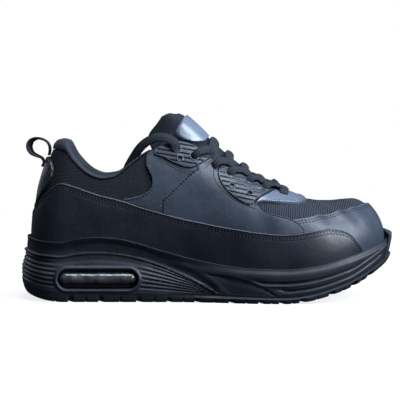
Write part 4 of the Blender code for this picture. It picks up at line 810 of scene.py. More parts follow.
def ribbon(path, ups, width, thickness, steps, sides, crown=0.0):
    """Points, faces, cloth places and centre line of a flat woven band along a path."""
    path, ups, widths = np.array(path, float), np.array(ups, float), np.atleast_1d(width)
    keys = np.concatenate([[0], np.cumsum(np.linalg.norm(np.diff(path, axis=0), axis=1))])
    at = np.linspace(0, keys[-1], steps + 1)
    centre, up = spline(keys, path, at), spline(keys, ups, at)
    tangent = unit(np.gradient(centre, axis=0))
    side = unit(np.cross(up, tangent))
    up = np.cross(tangent, side)
    half = np.interp(at / keys[-1], np.linspace(0, 1, len(widths)), widths) / 2
    angle = 2 * math.pi * np.arange(sides) / sides
    c, s = np.cos(angle), np.sin(angle)
    x = np.sign(c) * np.abs(c) ** 0.55
    y = np.sign(s) * np.abs(s) ** 0.75
    points = (centre[:, None] + side[:, None] * (half[:, None] * x)[..., None]
              + up[:, None] * (thickness / 2 * y[None, :] + crown * (1 - x[None, :] ** 2))[..., None])
    u = half[:, None] * x * 1000
    cords = BAND_RELIEF * np.cos(2 * math.pi * u / BAND_CORD) * np.sign(y)[None, :]
    points = points + up[:, None] * cords[..., None]
    v = np.broadcast_to(at[:, None] * 1000, u.shape)
    faces = [tuple(f) for f in grid_faces(steps + 1, sides, ring=True)]
    faces += [tuple(range(sides)), tuple(range(steps * sides + sides - 1, steps * sides - 1, -1))]
    return points.reshape(-1, 3), faces, np.stack([u, v], -1), centre


def spline(keys, values, at):
    """A smooth curve through points, by Catmull-Rom."""
    slopes = np.gradient(values, keys, axis=0)
    i = np.clip(np.searchsorted(keys, at) - 1, 0, len(keys) - 2)
    h = (keys[i + 1] - keys[i])[:, None]
    t = ((at - keys[i]) / (keys[i + 1] - keys[i]))[:, None]
    return ((2 * t**3 - 3 * t**2 + 1) * values[i] + (t**3 - 2 * t**2 + t) * h * slopes[i]
            + (3 * t**2 - 2 * t**3) * values[i + 1] + (t**3 - t**2) * h * slopes[i + 1])


class Look:
    """A material being built from nodes."""

    def __init__(self, name, roughness=0.5, specular=0.5, **shader):
        self.material = bpy.data.materials.new(name)
        self.material.use_nodes = True
        self.tree = self.material.node_tree
        self.shader = self.tree.nodes["Principled BSDF"]
        self.shader.inputs["Roughness"].default_value = roughness
        self.shader.inputs["Specular IOR Level"].default_value = specular
        for key, value in shader.items():
            self.shader.inputs[key.replace("_", " ")].default_value = value

    def add(self, kind, inputs=(), **settings):
        node = self.tree.nodes.new("ShaderNode" + kind)
        for key, value in settings.items():
            setattr(node, key, value)
        for key, value in dict(inputs).items():
            if isinstance(value, bpy.types.NodeSocket):
                self.tree.links.new(value, node.inputs[key])
            else:
                node.inputs[key].default_value = value
        return node

    def math(self, operation, a, b=0.0, c=0.0):
        return self.add("Math", {0: a, 1: b, 2: c}, operation=operation).outputs[0]

    def place(self):
        """Where the point is on the shoe, in metres."""
        return self.add("TexCoord").outputs["Object"]

    def cloth(self):
        """Across and along the cloth, in millimetres."""
        node = self.add("UVMap", uv_map="cloth")
        split = self.add("SeparateXYZ", {0: node.outputs[0]})
        return split.outputs[0], split.outputs[1]

    def noise(self, scale, detail=2.0, rough=0.5, at=None, low=0.3, high=0.7):
        """Noise stretched so that low to high becomes 0 to 1."""
        node = self.add("TexNoise", {"Vector": at or self.place(), "Scale": scale, "Detail": detail,
                                     "Roughness": rough})
        return self.spread(node.outputs[0], low, high, 0.0, 1.0)

    def spread(self, value, low, high, to_low, to_high):
        return self.add("MapRange", {0: value, 1: low, 2: high, 3: to_low, 4: to_high}).outputs[0]

    def cells(self, scale, at):
        return self.add("TexVoronoi", {"Vector": at, "Scale": scale}).outputs[0]

    def wave(self, value, period):
        """0 to 1 and back over each period of a value."""
        turn = self.math("MULTIPLY", value, 2 * math.pi / period)
        return self.math("MULTIPLY_ADD", self.math("SINE", turn), 0.5, 0.5)

    def mix(self, share, a, b):
        node = self.add("Mix", {0: share, 6: (*a, 1) if isinstance(a, tuple) else a,
                                7: (*b, 1) if isinstance(b, tuple) else b}, data_type="RGBA")
        return node.outputs[2]

    def colour(self, value):
        if isinstance(value, tuple):
            self.shader.inputs["Base Color"].default_value = (*value, 1)
        else:
            self.tree.links.new(value, self.shader.inputs["Base Color"])

    def roughness(self, value):
        self.tree.links.new(value, self.shader.inputs["Roughness"])

    def bump(self, *layers):
        """Height layers: (height, strength, distance in metres)."""
        normal = None
        for height, strength, distance in layers:
            inputs = {"Height": height, "Strength": strength, "Distance": distance}
            if normal is not None:
                inputs["Normal"] = normal
            normal = self.add("Bump", inputs).outputs[0]
        self.tree.links.new(normal, self.shader.inputs["Normal"])
        return self.material


def leather_look(name, dark, light, roughness=0.46, grain=0.35, specular=0.42, seams=(), edge=0.0):
    """Coated leather: fine pebble grain, faint clouds and creases, pricked seams and a painted highlight along
    the rolled edge.
    """
    look = Look(name, roughness, specular)
    at = look.place()
    clouds = look.noise(28, 4, 0.6, at)
    fine = look.noise(420, 3, 0.6, at)
    share = look.math("MULTIPLY_ADD", fine, 0.3, look.math("MULTIPLY", clouds, 0.7))
    colour = look.mix(share, dark, light)
    v = look.cloth()[1]
    layers = [(look.noise(45, 3, 0.5, at), grain * 0.5, 0.0012),
              (look.noise(230, 4, 0.65, at), grain * 0.8, 0.00022), (look.cells(1150, at), grain, 0.00012)]
    # edge paints a highlight: a paler band, in patches, along the panel's rolled top edge
    if edge:
        near, highlight_patches = look.spread(v, 0.5, 1.7, 1.0, 0.0), look.spread(clouds, 0, 1, 0.5 * edge, edge)
        rim = look.math("MULTIPLY", near, highlight_patches)
        colour = look.mix(rim, colour, tuple(2.6 * c for c in light))
    if seams:
        spots = [look.spread(look.math("ABSOLUTE", look.math("SUBTRACT", v, row)), 0.3, 0.75, 0.3, 0.0)
                 for row in seams]
        holes = spots[0] if len(spots) == 1 else look.math("MAXIMUM", *spots)
        colour = look.mix(look.math("MULTIPLY", holes, 0.9), colour, SEAM_COLOUR)
        layers.append((look.math("MULTIPLY", holes, -1.0), 0.8, 0.0004))
    look.colour(colour)
    worn = look.noise(60, 5, 0.7, at, 0.35, 0.75)
    look.roughness(look.spread(worn, 0, 1, roughness - 0.05, roughness + 0.09))
    return look.bump(*layers)


def knit(look, height, dark, light, strength, depth):
    """Colour and fuzz for cloth whose threads stand up by a height; the colour follows the height, so the lows
    between the threads are painted dark as shade.
    """
    at = look.place()
    clouds = look.noise(40, 3, 0.6, at)
    # Painted shade: the lower the thread, the darker its colour
    share = look.math("MULTIPLY", height, look.math("MULTIPLY_ADD", clouds, 0.4, 0.7))
    look.colour(look.mix(share, dark, light))
    return look.bump((height, strength, depth), (look.noise(2600, 2, 0.7, at), 0.25, 0.00008))


def rib_look(name, dark, light, rib, row):
    """Knit with raised ribs a set distance apart, each nicked by short rows."""
    look = Look(name, 0.85, 0.25)
    u, v = look.cloth()
    wander = look.math("MULTIPLY_ADD", look.noise(260, 2, 0.5), 0.3, u)
    half = look.math("MULTIPLY", look.math("FLOOR", look.math("DIVIDE", u, rib)), 0.5 * row)
    down = look.wave(look.math("ADD", v, half), row)
    height = look.math("MULTIPLY", look.wave(wander, rib), look.math("MULTIPLY_ADD", down, 0.3, 0.7))
    return knit(look, height, dark, light, 0.8, 0.0006)


def weave_look(name, dark, light, pitch, roughness=0.85, strength=0.8, specular=0.25):
    """Open mesh: small bumps in staggered rows, with holes between, painted dark as shade."""
    look = Look(name, roughness, specular)
    u, v = look.cloth()
    row = look.math("FLOOR", look.math("DIVIDE", v, 0.8 * pitch))
    one = look.wave(look.math("MULTIPLY_ADD", row, 0.5 * pitch, u), pitch)
    height = look.math("POWER", look.math("MULTIPLY", one, look.wave(v, 0.8 * pitch)), 0.6)
    return knit(look, height, dark, light, strength, 0.0005)


def band_look(name, dark, light):
    """Flat woven band: cords along it, each cut by slanting threads."""
    look = Look(name, 0.8, 0.3)
    u, v = look.cloth()
    slant = look.wave(look.math("MULTIPLY_ADD", look.math("ABSOLUTE", u), 0.8, v), 1.5)
    slant = look.math("MULTIPLY_ADD", slant, 0.55, 0.45)
    cords = look.math("MULTIPLY_ADD", look.wave(u, BAND_CORD), 0.75, 0.25)
    height = look.math("MULTIPLY", slant, cords)
    # Painted shade: the colour follows the height, darker in the lows between cords and threads
    look.colour(look.mix(height, dark, light))
    return look.bump((height, 0.9, 0.0005), (look.noise(3000, 2, 0.7), 0.3, 0.00008))


def rubber_look(name, dark, light, roughness=0.55, specular=0.4):
    """Moulded foam or rubber: faint flow marks, fine texture and patchy roughness."""
    look = Look(name, roughness, specular)
    at = look.place()
    look.colour(look.mix(look.noise(35, 4, 0.6, at), dark, light))
    scuff = look.noise(300, 5, 0.7, at, 0.45, 0.8)
    look.roughness(look.spread(scuff, 0, 1, roughness - 0.06, roughness + 0.12))
    waves, grain = look.noise(160, 2, 0.5, at), look.noise(1900, 3, 0.6, at)
    return look.bump((waves, 0.15, 0.0004), (grain, 0.22, 0.0001))


def thread_look():
    look = Look("thread", 0.6, 0.4)
    look.colour(look.mix(look.noise(900), (0.0015, 0.0018, 0.0026), (0.005, 0.006, 0.009)))
    return look.bump((look.noise(4000, 2, 0.6), 0.4, 0.00008))


def cell_look():
    """Glossy dark plastic tube with faint flow streaks."""
    look = Look("air_cell", 0.2, 0.6, Coat_Weight=0.4, Coat_Roughness=0.16)
    at = look.place()
    streaks = look.noise(90, 3, 0.6, at, 0.4, 0.7)
    look.colour(look.mix(streaks, (0.02, 0.021, 0.025), (0.085, 0.086, 0.09)))
    return look.bump((look.noise(120, 3, 0.6, at), 0.35, 0.0006))


def make_upper_shell(cloth, vamp, lining):
    """The cloth upper and its lining: a thin wall, open at the collar, along the throat and underneath."""
    turns = np.arange(336) / 336
    place = fold(turns)[1]
    rise = wall_top(place)[:, None] * np.linspace(0, 1, 49)[None, :]
    turn = turns[:, None] + 0 * rise
    outer, inner = surface(turn, rise), surface(turn, rise, -UPPER_WALL)
    ring = along(outer[:, 24])
    u = np.where(place[:, None] < 0.5, ring[:, None] * 1000 + 0 * rise, outer[..., 0] * 1000)
    v = along(np.swapaxes(outer, 0, 1)).T * 1000
    uv = np.stack([u, v], -1)
    grid = grid_faces(*rise.shape, wrap=True)
    front = place[grid[:, 0] // rise.shape[1]] > VAMP_START
    piece("upper_cloth", outer, grid[~front], cloth, ("upper",), uv)
    piece("vamp_cloth", outer, grid[front], vamp, (), uv)
    faces = [tuple(f)[::-1] for f in grid]
    count, across = rise.shape
    top, foot = count * across, count * across + count
    for i in range(count):
        k = (i + 1) % count
        if min(place[i], place[k]) < THROAT_BASE - 1e-6:
            faces.append((i * across + across - 1, k * across + across - 1, top + k, top + i))
        faces.append((k * across, i * across, foot + i, foot + k))
    points = np.concatenate([inner.reshape(-1, 3), outer[:, -1], outer[:, 0]])
    piece("upper_lining", points, faces, lining, (),
          np.concatenate([uv.reshape(-1, 2), np.zeros((2 * count, 2))]))


def make_mudguard(look):
    def relief(spot):
        groove = sum(dip(spot.top, d, 0.00055) for d in MUDGUARD_SEAMS)
        return -0.00022 * groove * ease(0.001, 0.004, spot.low)

    seam = panel("mudguard_leather", stations(MUDGUARD, 300, "heel"), 1.3 * GAP + MUDGUARD_THICKNESS, look,
                 ("mudguard",), inside=16, low_edge=False, seam_rows=True, bead=0.00035,
                 relief=relief, ends=False)
    for distance in MUDGUARD_SEAMS:
        stitches(*seam(distance, first=0.012, last=0.988), "thread_mudguard")


def make_toe_cap(look):
    def relief(spot):
        return -0.0002 * sum(dip(spot.top, d, 0.0005) for d in TOE_CAP_SEAMS)

    seam = panel("toe_cap_leather", stations(TOE_CAP, 200, "toe"), CAP_STACK, look, ("toe_cap",),
                 inside=20, low_edge=False, seam_rows=True, bead=0.0002, relief=relief, ends=False)
    for distance in TOE_CAP_SEAMS:
        stitches(*seam(distance, first=0.004, last=0.996), "thread_toe_cap")


def make_quarter(look, side, label):
    """The leather side, with a raised panel in front of its diagonal seam and in front of the plates."""
    out = GAP + QUARTER_THICKNESS
    group = f"thread_quarter_{label}"
    line = surface_line(DIAGONAL_SEAM, side, out, 60)[0]

    def relief(spot):
        gaps = np.linalg.norm(spot.flat[..., None, :] - line, axis=-1)
        near = gaps.min(-1)
        ahead = spot.flat[..., 0] - line[gaps.argmin(-1), 0]
        raised = 0.0009 * ease(0.625, 0.66, spot.place) - 0.0002 * dip(spot.top, 0.0022, 0.0005)
        raised -= 0.0006 * dip(ahead, -0.0006, 0.0006) * (near < 0.0025)
        ridge = ease(-0.0003, 0.0003, ahead) * (1 - ease(0.0, 0.009, ahead))
        return raised + 0.0006 * ridge * (near < 0.0095)

    seam = panel(f"quarter_leather_{label}", stations(QUARTER_SKIN, 220, None, side), out, look,
                 (f"quarter_{label}",), inside=90, low_edge=False, bead=0.0004, flip=side > 0,
                 relief=relief)
    stitches(*seam(0.0022, first=0.02, last=0.44), group)
    stitches(*seam(0.002, first=0.8, last=0.985, lift=0.0007), group)
    stitches(*seam(0.0042, first=0.8, last=0.97, lift=0.0007), group)
    seam_line([(place - 0.006, rise - 0.004) for place, rise in DIAGONAL_SEAM], side, out, group)


def surface_line(points, side, out, count=160):
    """A smooth line on the upper through (place, rise) points, and the directions out of it."""
    keys = np.arange(len(points), dtype=float)
    place, rise = spline(keys, np.array(points), np.linspace(0, keys[-1], count)).T
    turn = turn_at(place, side)
    return surface(turn, rise, out), upper_normal(turn, rise)


def seam_line(points, side, out, group, **how):
    stitches(*surface_line(points, side, out), group, **how)


def plate_relief(name, side):
    """Slanting grooves across a plate, stopped short of its edges and of the rings round its holes."""
    plate = PLATES[name]
    holes = [(place, rise, PLATE_HOLE) for place, rise in plate["holes"]]
    holes += [(*EYELETS[k, :2], EYELET_HOLE) for k in plate["eyelets"]]

    def relief(spot):
        level = spot.flat[..., 2] + math.tan(math.radians(plate["slant"])) * spot.flat[..., 0]
        phase = np.mod(level / PLATE_GROOVES + plate["shift"], 1.0)
        groove = np.exp(-(((phase - 0.5) / 0.15) ** 4)) * ease(0.0012, 0.0018, spot.inside)
        rings = np.zeros_like(groove)
        for place, rise, size in holes:
            at = surface(np.array(turn_at(place, side)), np.array(rise), 0.003)
            d = np.linalg.norm(spot.flat - at, axis=-1)
            groove *= ease(size + 0.0007, size + 0.0013, d)
            rings += 0.0004 * dip(d, size + 0.0003, 0.0005)
            rings -= 0.0022 * (1 - ease(size - 0.0008, size - 0.0003, d))
        return rings - 0.0011 * groove

    return relief


def make_plate(name, table, look, side, label):
    return panel(f"plate_{name}_skin_{label}", stations(table, 190, None, side), GAP + PLATE_THICKNESS, look,
                 (f"plate_{name}_{label}",), inside=76, flip=side > 0,
                 relief=plate_relief(name, side), radius=0.0008)


def make_plates(look, side, label):
    """The two eyelet plates of a side, each with a stitched border on the leather round it."""
    group = f"thread_plates_{label}"
    quarter = GAP + QUARTER_THICKNESS
    seam = make_plate("upper", PLATE_SKIN_UPPER, look, side, label)
    stitches(*seam(0.0011, from_low=True, first=0.02, last=0.99), group, **FINE)
    table = PLATE_LOWER.copy()
    table[:, 3] = np.minimum(table[:, 3] + 0.015, 0.99)
    table[:, 1] = np.minimum(table[:, 1] + np.where(table[:, 1] > 0.9, 0.015, 0), 0.99)
    make_plate("lower", table, look, side, label)
    seam_line(BORDER_LOWER, side, quarter + 0.0002, group, **FINE)
    for shift in (0.0, -0.022):
        border = [(place, rise + shift) for place, rise in BORDER_UPPER]
        seam_line(border, side, quarter + 0.0001, group, **FINE)


def make_throat_piece(look):
    seam = panel("throat_leather", stations(THROAT_PIECE, 120, "toe"), CAP_STACK + 2 * GAP, look,
                 ("throat_piece",), inside=24, ends=False, bead=0.0002)
    stitches(*seam(0.0019, from_low=True, first=0.02, last=0.98), "thread_throat", **FINE)


def make_heel_tab(look):
    """The rubber heel piece: a rim round it and slanting ribs inside, lower towards its bottom edge."""
    def relief(spot):
        rim = 0.0005 * (1 - ease(0.0024, 0.0031, spot.inside))
        slant = spot.flat[..., 2] + 0.75 * np.abs(spot.flat[..., 1])
        rib = 0.5 + 0.5 * np.cos(2 * math.pi * slant / HEEL_TAB_RIBS)
        sink = 0.0009 * (1 - ease(0.0, 0.02, spot.low))
        return rim - sink - 0.0005 * (1 - rib) * ease(0.003, 0.0038, spot.inside)

    panel("heel_tab_rubber", stations(HEEL_TAB, 110, "heel"), GAP + HEEL_TAB_THICKNESS, look, ("heel_tab",),
          inside=80, relief=relief, radius=0.0011)


def make_tongue(cloth):
    """The padded tongue: a front and a back, thinned towards the edges and joined round the rim."""
    s, a = np.meshgrid(np.linspace(0, 1, 97), np.linspace(-1, 1, 61), indexing="ij")
    outer, normal = tongue_surface(s, a)
    thick = COLLAR_HEIGHT * smooth(TONGUE, 5, s) * (1 - 0.5 * a**2)
    half = thick / 2 * (0.25 + 0.75 * rounded(1 - np.abs(a), 0.16)) * (0.2 + 0.8 * rounded(s, 0.07))
    middle = tongue_surface(s, a, -thick / 2)[0]
    puff = 0.0006 * np.sin(math.pi * s) * (1 - a**2)
    front, back = middle + normal * (half + puff)[..., None], middle - normal * half[..., None]
    uv = np.stack([along(np.swapaxes(outer, 0, 1)).T, along(outer)], -1).reshape(-1, 2) * 1000
    rows, across = s.shape
    faces = [tuple(f) for f in grid_faces(rows, across)]
    faces += [tuple(int(k) + s.size for k in f)[::-1] for f in grid_faces(rows, across)]
    rim = ([i * across for i in range(rows)] + [(rows - 1) * across + j for j in range(1, across)]
           + [i * across + across - 1 for i in range(rows - 2, -1, -1)] + list(range(across - 2, 0, -1)))
    faces += [(b, a, a + s.size, b + s.size) for a, b in zip(rim, rim[1:] + rim[:1])]
    made = piece("tongue_cloth", np.concatenate([front.reshape(-1, 3), back.reshape(-1, 3)]), faces, cloth,
                 ("tongue",), np.concatenate([uv, uv]), sharp=80)


def make_tongue_patch(look):
    """The leather patch on the tongue, with a stitched border."""
    count = 46
    keys = np.arange(len(TONGUE_PATCH), dtype=float)
    fine = spline(keys, TONGUE_PATCH, np.linspace(0, keys[-1], count))
    share = np.linspace(-1, 1, 61)[None, :]
    station, across = fine[:, :1] + 0 * share, fine[:, 1:] * share
    outer, normal = tongue_surface(station, across)
    end = np.minimum(np.arange(count), count - 1 - np.arange(count))[:, None] / 8 * 0.0012 * 3
    inside = np.minimum(end + 0 * share, (1 - np.abs(share)) * 0.024)
    height = -0.0006 + 0.0027 * rounded(inside, 0.0011) + 0.0003 * dip(inside, 0.001, 0.0006)
    uv = np.stack([across * 20, station * 130], -1)
    piece("tongue_patch_leather", outer + normal * height[..., None], grid_faces(*outer.shape[:2]), look,
          ("tongue_patch",), uv, sharp=80)
    border = fine[3:count - 3] * (1, 0.9)
    loop = np.concatenate([border * (1, -1), border[::-1], border[:1] * (1, -1)])
    stitches(*tongue_surface(loop[:, 0], loop[:, 1], 0.0018), "thread_tongue", pitch=0.0018, length=0.0013,
             radius=0.00026)


def make_collar(look):
    """The padded roll round the opening, fuller behind the ankle."""
    turns = np.linspace(-COLLAR_REACH / 2, COLLAR_REACH / 2, 241)
    place = fold(turns)[1]
    size = COLLAR_DEPTH * smooth(COLLAR_SIZE, 1, place)
    top_rise = wall_top(place)
    seam = np.minimum(top_rise + 0.012, 0.997)
    wall = UPPER_WALL + 3 * GAP
    out = top_point(turns)
    normal = np.concatenate([outline_normal(turns), np.zeros((len(turns), 1))], -1)
    up = np.array([0, 0, 1.0])
    starts = ((seam, -0.0004), (seam, 0.0004), ((seam + 1) / 2, 0.001))
    rings = [surface(turns, rise, height) for rise, height in starts]
    for a, b in COLLAR_SECTION:
        rings.append(out + normal * (a * size)[:, None] + up * (b * size)[:, None])
    rings.append(surface(turns, top_rise - 0.16 * size / COLLAR_DEPTH, -wall - 0.0008) - 0.001 * up)
    rings.append(surface(turns, seam, -wall))
    grid = np.stack(rings, 1)
    keys = np.arange(grid.shape[1], dtype=float)
    fine = np.stack([spline(keys, row, np.linspace(0, keys[-1], 61)) for row in grid])
    v = along(np.swapaxes(fine, 0, 1)).T
    uv = np.stack([along(out)[:, None] + 0 * v, v], -1) * 1000
    faces = grid_faces(*fine.shape[:2])
    made = piece("collar_roll", fine, faces, look, ("collar_padding",), uv, sharp=80)


def make_insole(look):
    """The insole's domed top, down to a thin edge on the footbed."""
    turns = np.arange(168) / 168
    edge = surface(turns, np.zeros(turns.shape), -(UPPER_WALL + 2 * GAP))
    edge[:, 2] = footbed_height(share_at(edge[:, 0]))
    centre_line = (edge + edge[(-np.arange(168)) % 168]) / 2
    rings = []
    for share in np.concatenate([np.linspace(0, 0.86, 18), [0.92, 0.96, 0.985, 1.0]]):
        ring = centre_line * (1 - share) + edge * share
        thick = INSOLE_THICKNESS * (0.7 + 0.3 * ease(0.5, 0.95, share)) - 0.0015 * ease(0.95, 1.0, share)
        ring[:, 2] = footbed_height(share_at(ring[:, 0])) + thick
        rings.append(ring)
    grid = np.stack(rings + [edge])
    piece("insole_cloth", grid, grid_faces(*grid.shape[:2], ring=True), look, ("insole",),
          grid[..., :2] * 1000, sharp=60)


def make_pull_loop(look):
    line = np.array(PULL_LOOP)
    path = np.column_stack([line[:, 0], np.zeros(len(line)), line[:, 1]])
    direction = np.gradient(path, axis=0)
    ups = unit(np.column_stack([direction[:, 2], np.zeros(len(line)), -direction[:, 0]]))
    twist = np.radians(line[:, 2])[:, None]
    ups = ups * np.cos(twist) + np.array([0, 1.0, 0]) * np.sin(twist)
    points, faces, uv, _ = ribbon(path, ups, PULL_LOOP_WIDTH, PULL_LOOP_THICKNESS, 90, 24)
    piece("pull_loop_webbing", points, faces, look, ("pull_loop",), uv, sharp=80)


def eyelet_start(index, side):
    """Where a lace comes up out of its eyelet, the direction out of the plate and the one to the throat."""
    place, rise, _ = EYELETS[index]
    turn, level = np.array([turn_at(place, side)]), np.array([rise])
    towards = over_edge(index, side, 1.0, LACE_OVER)[0] - over_edge(index, side, 0.0, LACE_OVER)[0]
    return surface(turn, level)[0], upper_normal(turn, level)[0], unit(towards)


def lace_path(index, side, lifts):
    """A strand from its eyelet over the plate's edge, then across the tongue to the throat's far edge."""
    at, normal, ahead = eyelet_start(index, side)
    steps = [(at + normal * 0.0003 - ahead * 0.0004, unit(normal * 0.35 - ahead)),
             (at + normal * 0.0028 + ahead * 0.0002, unit(normal - ahead * 0.75))]
    for share, extra in ((0.3, 0.001), (0.55, 0.0008), (0.92, 0.0002)):
        steps.append(over_edge(index, side, share, LACE_OVER + extra))
    begin = top_point(np.array([turn_at(EYELETS[index, 2], side)]))[0]
    end = top_point(np.array([turn_at(EYELETS[index + 1, 2] - 0.014, -side)]))[0]
    end[1] -= math.copysign(LACE_END_INSET, end[1])
    for share, lift in lifts:
        x, y = begin[:2] * (1 - share) + end[:2] * share
        steps.append(tongue_at(x, y, lift + LACE_START_LIFT[index] * max(0.0, 1 - share / 0.34)))
    return zip(*steps)


def make_laces(look):
    """Five crossings of two strands each, and the bar over the lowest pair of eyelets."""
    for index in range(1, 6):
        strands = [ribbon(*lace_path(index, side, lifts), CROSSING_WIDTHS, 0.0016, 72, 26, crown=0.0005)
                   for side, lifts in ((-1, LACE_LIFTS_TOP), (1, LACE_LIFTS_BOTTOM))]
        shift = len(strands[0][0])
        faces = strands[0][1] + [tuple(k + shift for k in face) for face in strands[1][1]]
        uv = np.concatenate([strand[2].reshape(-1, 2) for strand in strands])
        piece(f"lace_over_{index}", np.concatenate([strand[0] for strand in strands]), faces, look,
              (f"lace_crossing_{index}",), uv, sharp=80)
    last = len(EYELETS) - 1
    halves = []
    for side in (-1, 1):
        at, normal, ahead = eyelet_start(last, side)
        halves.append([(at + normal * 0.0004, unit(normal * 0.35 - ahead)),
                       (at + normal * 0.0028, unit(normal - ahead * 0.7))]
                      + [over_edge(last, side, share, LACE_OVER) for share in (0.5, 1.0)])
    near, away = halves
    middle = ((near[-1][0] + away[-1][0]) / 2, np.array([0.2, 0, 1.0]))
    points, faces, uv, _ = ribbon(*zip(*near, middle, *away[::-1]), BAR_WIDTHS, 0.0016, 90, 26, crown=0.0005)
    piece("lace_low_bar", points, faces, look, ("lace_bar",), uv, sharp=80)


def make_lace_end(look):
    ups = [(0.1, -1.0, 0.35)] * len(LACE_END)
    points, faces, uv, centre = ribbon(LACE_END, ups, LACE_END_WIDTH, 0.0015, 130, 26, crown=0.0004)
    made = piece("lace_free_end", points, faces, look, ("lace_end",), uv, sharp=80)


def window_distance(x, z):
    """Distance from the edge of the window, negative inside it."""
    cx, cz = WINDOW["centre"]
    radius = WINDOW["height"] / 2
    straight = WINDOW["length"] / 2 - radius
    dx = np.maximum(np.abs(x - cx) - straight, 0)
    return np.hypot(dx, z - cz) - radius


def wall_relief(share, level, height, x):
    """How deep the sole's side is cut: heel ribs, the step under the band, forefoot grooves and the flame."""
    step = smooth(WALL_STEP, 1, share)
    within = np.clip(level / np.maximum(step, 1e-3), 0, 1.2)
    rib = (0.5 - 0.5 * np.cos(2 * math.pi * HEEL_RIBS * within)) ** 1.5
    below = (1 - ease(0.93, 0.99, within)) * ease(0.06, 0.16, within)
    frame = ease(0.0022, 0.0042, window_distance(x, height))
    above_window = ease(0.018, 0.022, height - 0.006) * ease(-0.128, -0.118, x) * (1 - ease(-0.052, -0.04, x))
    fade = ease(0.0, 0.18, step)
    edge = level - step
    deep = 0.001 * rib * below * frame * (1 - 0.85 * above_window) * fade
    deep += 0.0016 * fade * ease(-0.004, 0.01, edge) * (1 - ease(0.05, 0.3, edge))
    deep -= 0.0007 * fade * dip(edge, -0.014, 0.026)
    end = 1 - ease(0.945, 0.975, share)
    for line, begin in ((0.565 + 0.25 * ease(0.87, 0.97, share), 0.612),
                        (0.285 + 0.13 * ease(0.87, 0.96, share), 0.678)):
        away = level - line
        cut = np.where(away > 0, 1 - ease(0.0, 0.022, away), 1 - ease(0.0, 0.135, -away))
        lip = dip(away, -0.16, 0.02)
        deep += (0.0024 * cut - 0.0004 * lip) * ease(begin, begin + 0.035, share) * end
        deep += 0.0006 * dip(share, begin + 0.016, 0.016) * dip(away, 0.02, 0.06)
    top, low = smooth(FLAME_TOP, 1, share), smooth(FLAME_LOW, 1, share)
    reach = ease(0.49, 0.505, share) * (1 - ease(0.68, 0.69, share))
    inside = ease(-0.004, 0.012, top - level) * ease(-0.02, 0.1, level - low) * reach
    return deep + 0.0017 * inside * (1 - 0.75 * ease(0.0, 0.55, (top - level) / np.maximum(top - low, 0.02)))


def cap_faces(count, across, column):
    """Faces that close one end of a tube of rings, from each side to the other."""
    faces = []
    for i in range(count // 2):
        ring = dict.fromkeys((i, i + 1, (count - i - 1) % count, (count - i) % count))
        corners = tuple(k * across + column for k in ring)
        faces.append(corners if column == 0 else corners[::-1])
    return faces


def make_midsole(look):
    """The cup: the cut side wall, the rim's rounded lip, the inside down to the footbed, and the bottom."""
    turns = np.arange(620) / 620
    share = length_share(fold(turns)[1])
    levels = np.concatenate([np.linspace(0, 0.9, 112), np.linspace(0.9, 1.0, 12)[1:]])
    turn, level = np.meshgrid(turns, levels, indexing="ij")
    grid = sole_side(turn, level)
    deep = wall_relief(share[:, None] + 0 * level, level, grid[..., 2], grid[..., 0])
    grid[..., :2] -= outline_normal(turn) * deep[..., None]
    rim = rim_height(share)
    rise = rise_at(turns, rim)
    rings = []
    for inward, down in RIM_LIP:
        ring = surface(turns, rise, RIM_OUT - inward)
        ring[:, 2] = rim + 0.0002 + down
        rings.append(ring)
    for fraction in (1.0, 0.85, 0.6, 0.3, 0.0):
        rings.append(surface(turns, rise * fraction, CUP_CLEARANCE))
    rings[len(RIM_LIP)][:, 2] = rim - 0.0004
    rings[-1][:, 2] = footbed_height(share_at(rings[-1][:, 0])) - GAP
    full = np.concatenate([grid, np.stack(rings, 1)], 1)
    count, across = full.shape[:2]
    faces = [tuple(f) for f in grid_faces(count, across, wrap=True)]
    faces += cap_faces(count, across, 0) + cap_faces(count, across, across - 1)
    points = full.reshape(-1, 3)
    inside = (window_distance(points[:, 0], points[:, 2]) < 0.0021) & (np.abs(points[:, 1]) > 0.03)
    inside &= np.tile(np.arange(across) < len(levels), count)
    faces = [f for f in faces if not all(inside[k] for k in f)]
    piece("midsole_foam", points, faces, look, ("midsole",), None, sharp=60, merge=True)


def window_outline(count, grow):
    """The window's outline, moved outwards: two half circles and the straight stretches between them."""
    cx, cz = WINDOW["centre"]
    radius = WINDOW["height"] / 2
    straight = WINDOW["length"] / 2 - radius
    ends = []
    for end in (1, -1):
        angle = end * math.pi / 2 - math.pi * np.arange(count + 1) / count
        ends.append(np.column_stack([cx + end * straight + (radius + grow) * np.cos(angle),
                                     cz + (radius + grow) * np.sin(angle)]))
    right, left = ends
    under, over = mid_points(right[-1], left[0], 26), mid_points(left[-1], right[0], 26)
    return np.concatenate([right, under, left, over])


def wall_point(x, z, side, out=0.0):
    """A point on the sole's side at a length and a height."""
    share = share_at(np.asarray(x, float))
    turn = turn_at(np.arccos(np.clip(1 - 2 * share, -1, 1)) / math.pi, side)
    low = outsole_height(share) + GAP
    level = np.clip((z - low) / (rim_height(share) - low), 0, 1)
    return np.stack([x, sole_side(turn, level)[..., 1] + side * out, z], -1)


def make_window_rims(look):
    """The raised, rounded frame round each window, and the well behind it."""
    for side, label in ((-1, "outer"), (1, "inner")):
        rings = []
        for grow, out in WINDOW_PROFILE:
            section = window_outline(28, grow)
            rings.append(wall_point(section[:, 0], section[:, 1], side, out))
        grid = np.stack(rings, 1)
        count, across = grid.shape[:2]
        faces = [tuple(f) for f in grid_faces(count, across, wrap=True)]
        for i in range(count // 2):
            ring = dict.fromkeys((i, i + 1, count - i - 2, count - i - 1))
            faces.append(tuple(k * across for k in ring))
        faces = [f for f in faces if len(set(f)) > 2]
        piece(f"window_rim_{label}", grid, faces, look, (), None, sharp=50, merge=True)


def mid_points(a, b, count):
    share = np.linspace(0, 1, count + 2)[1:-1, None]
    return a * (1 - share) + b * share


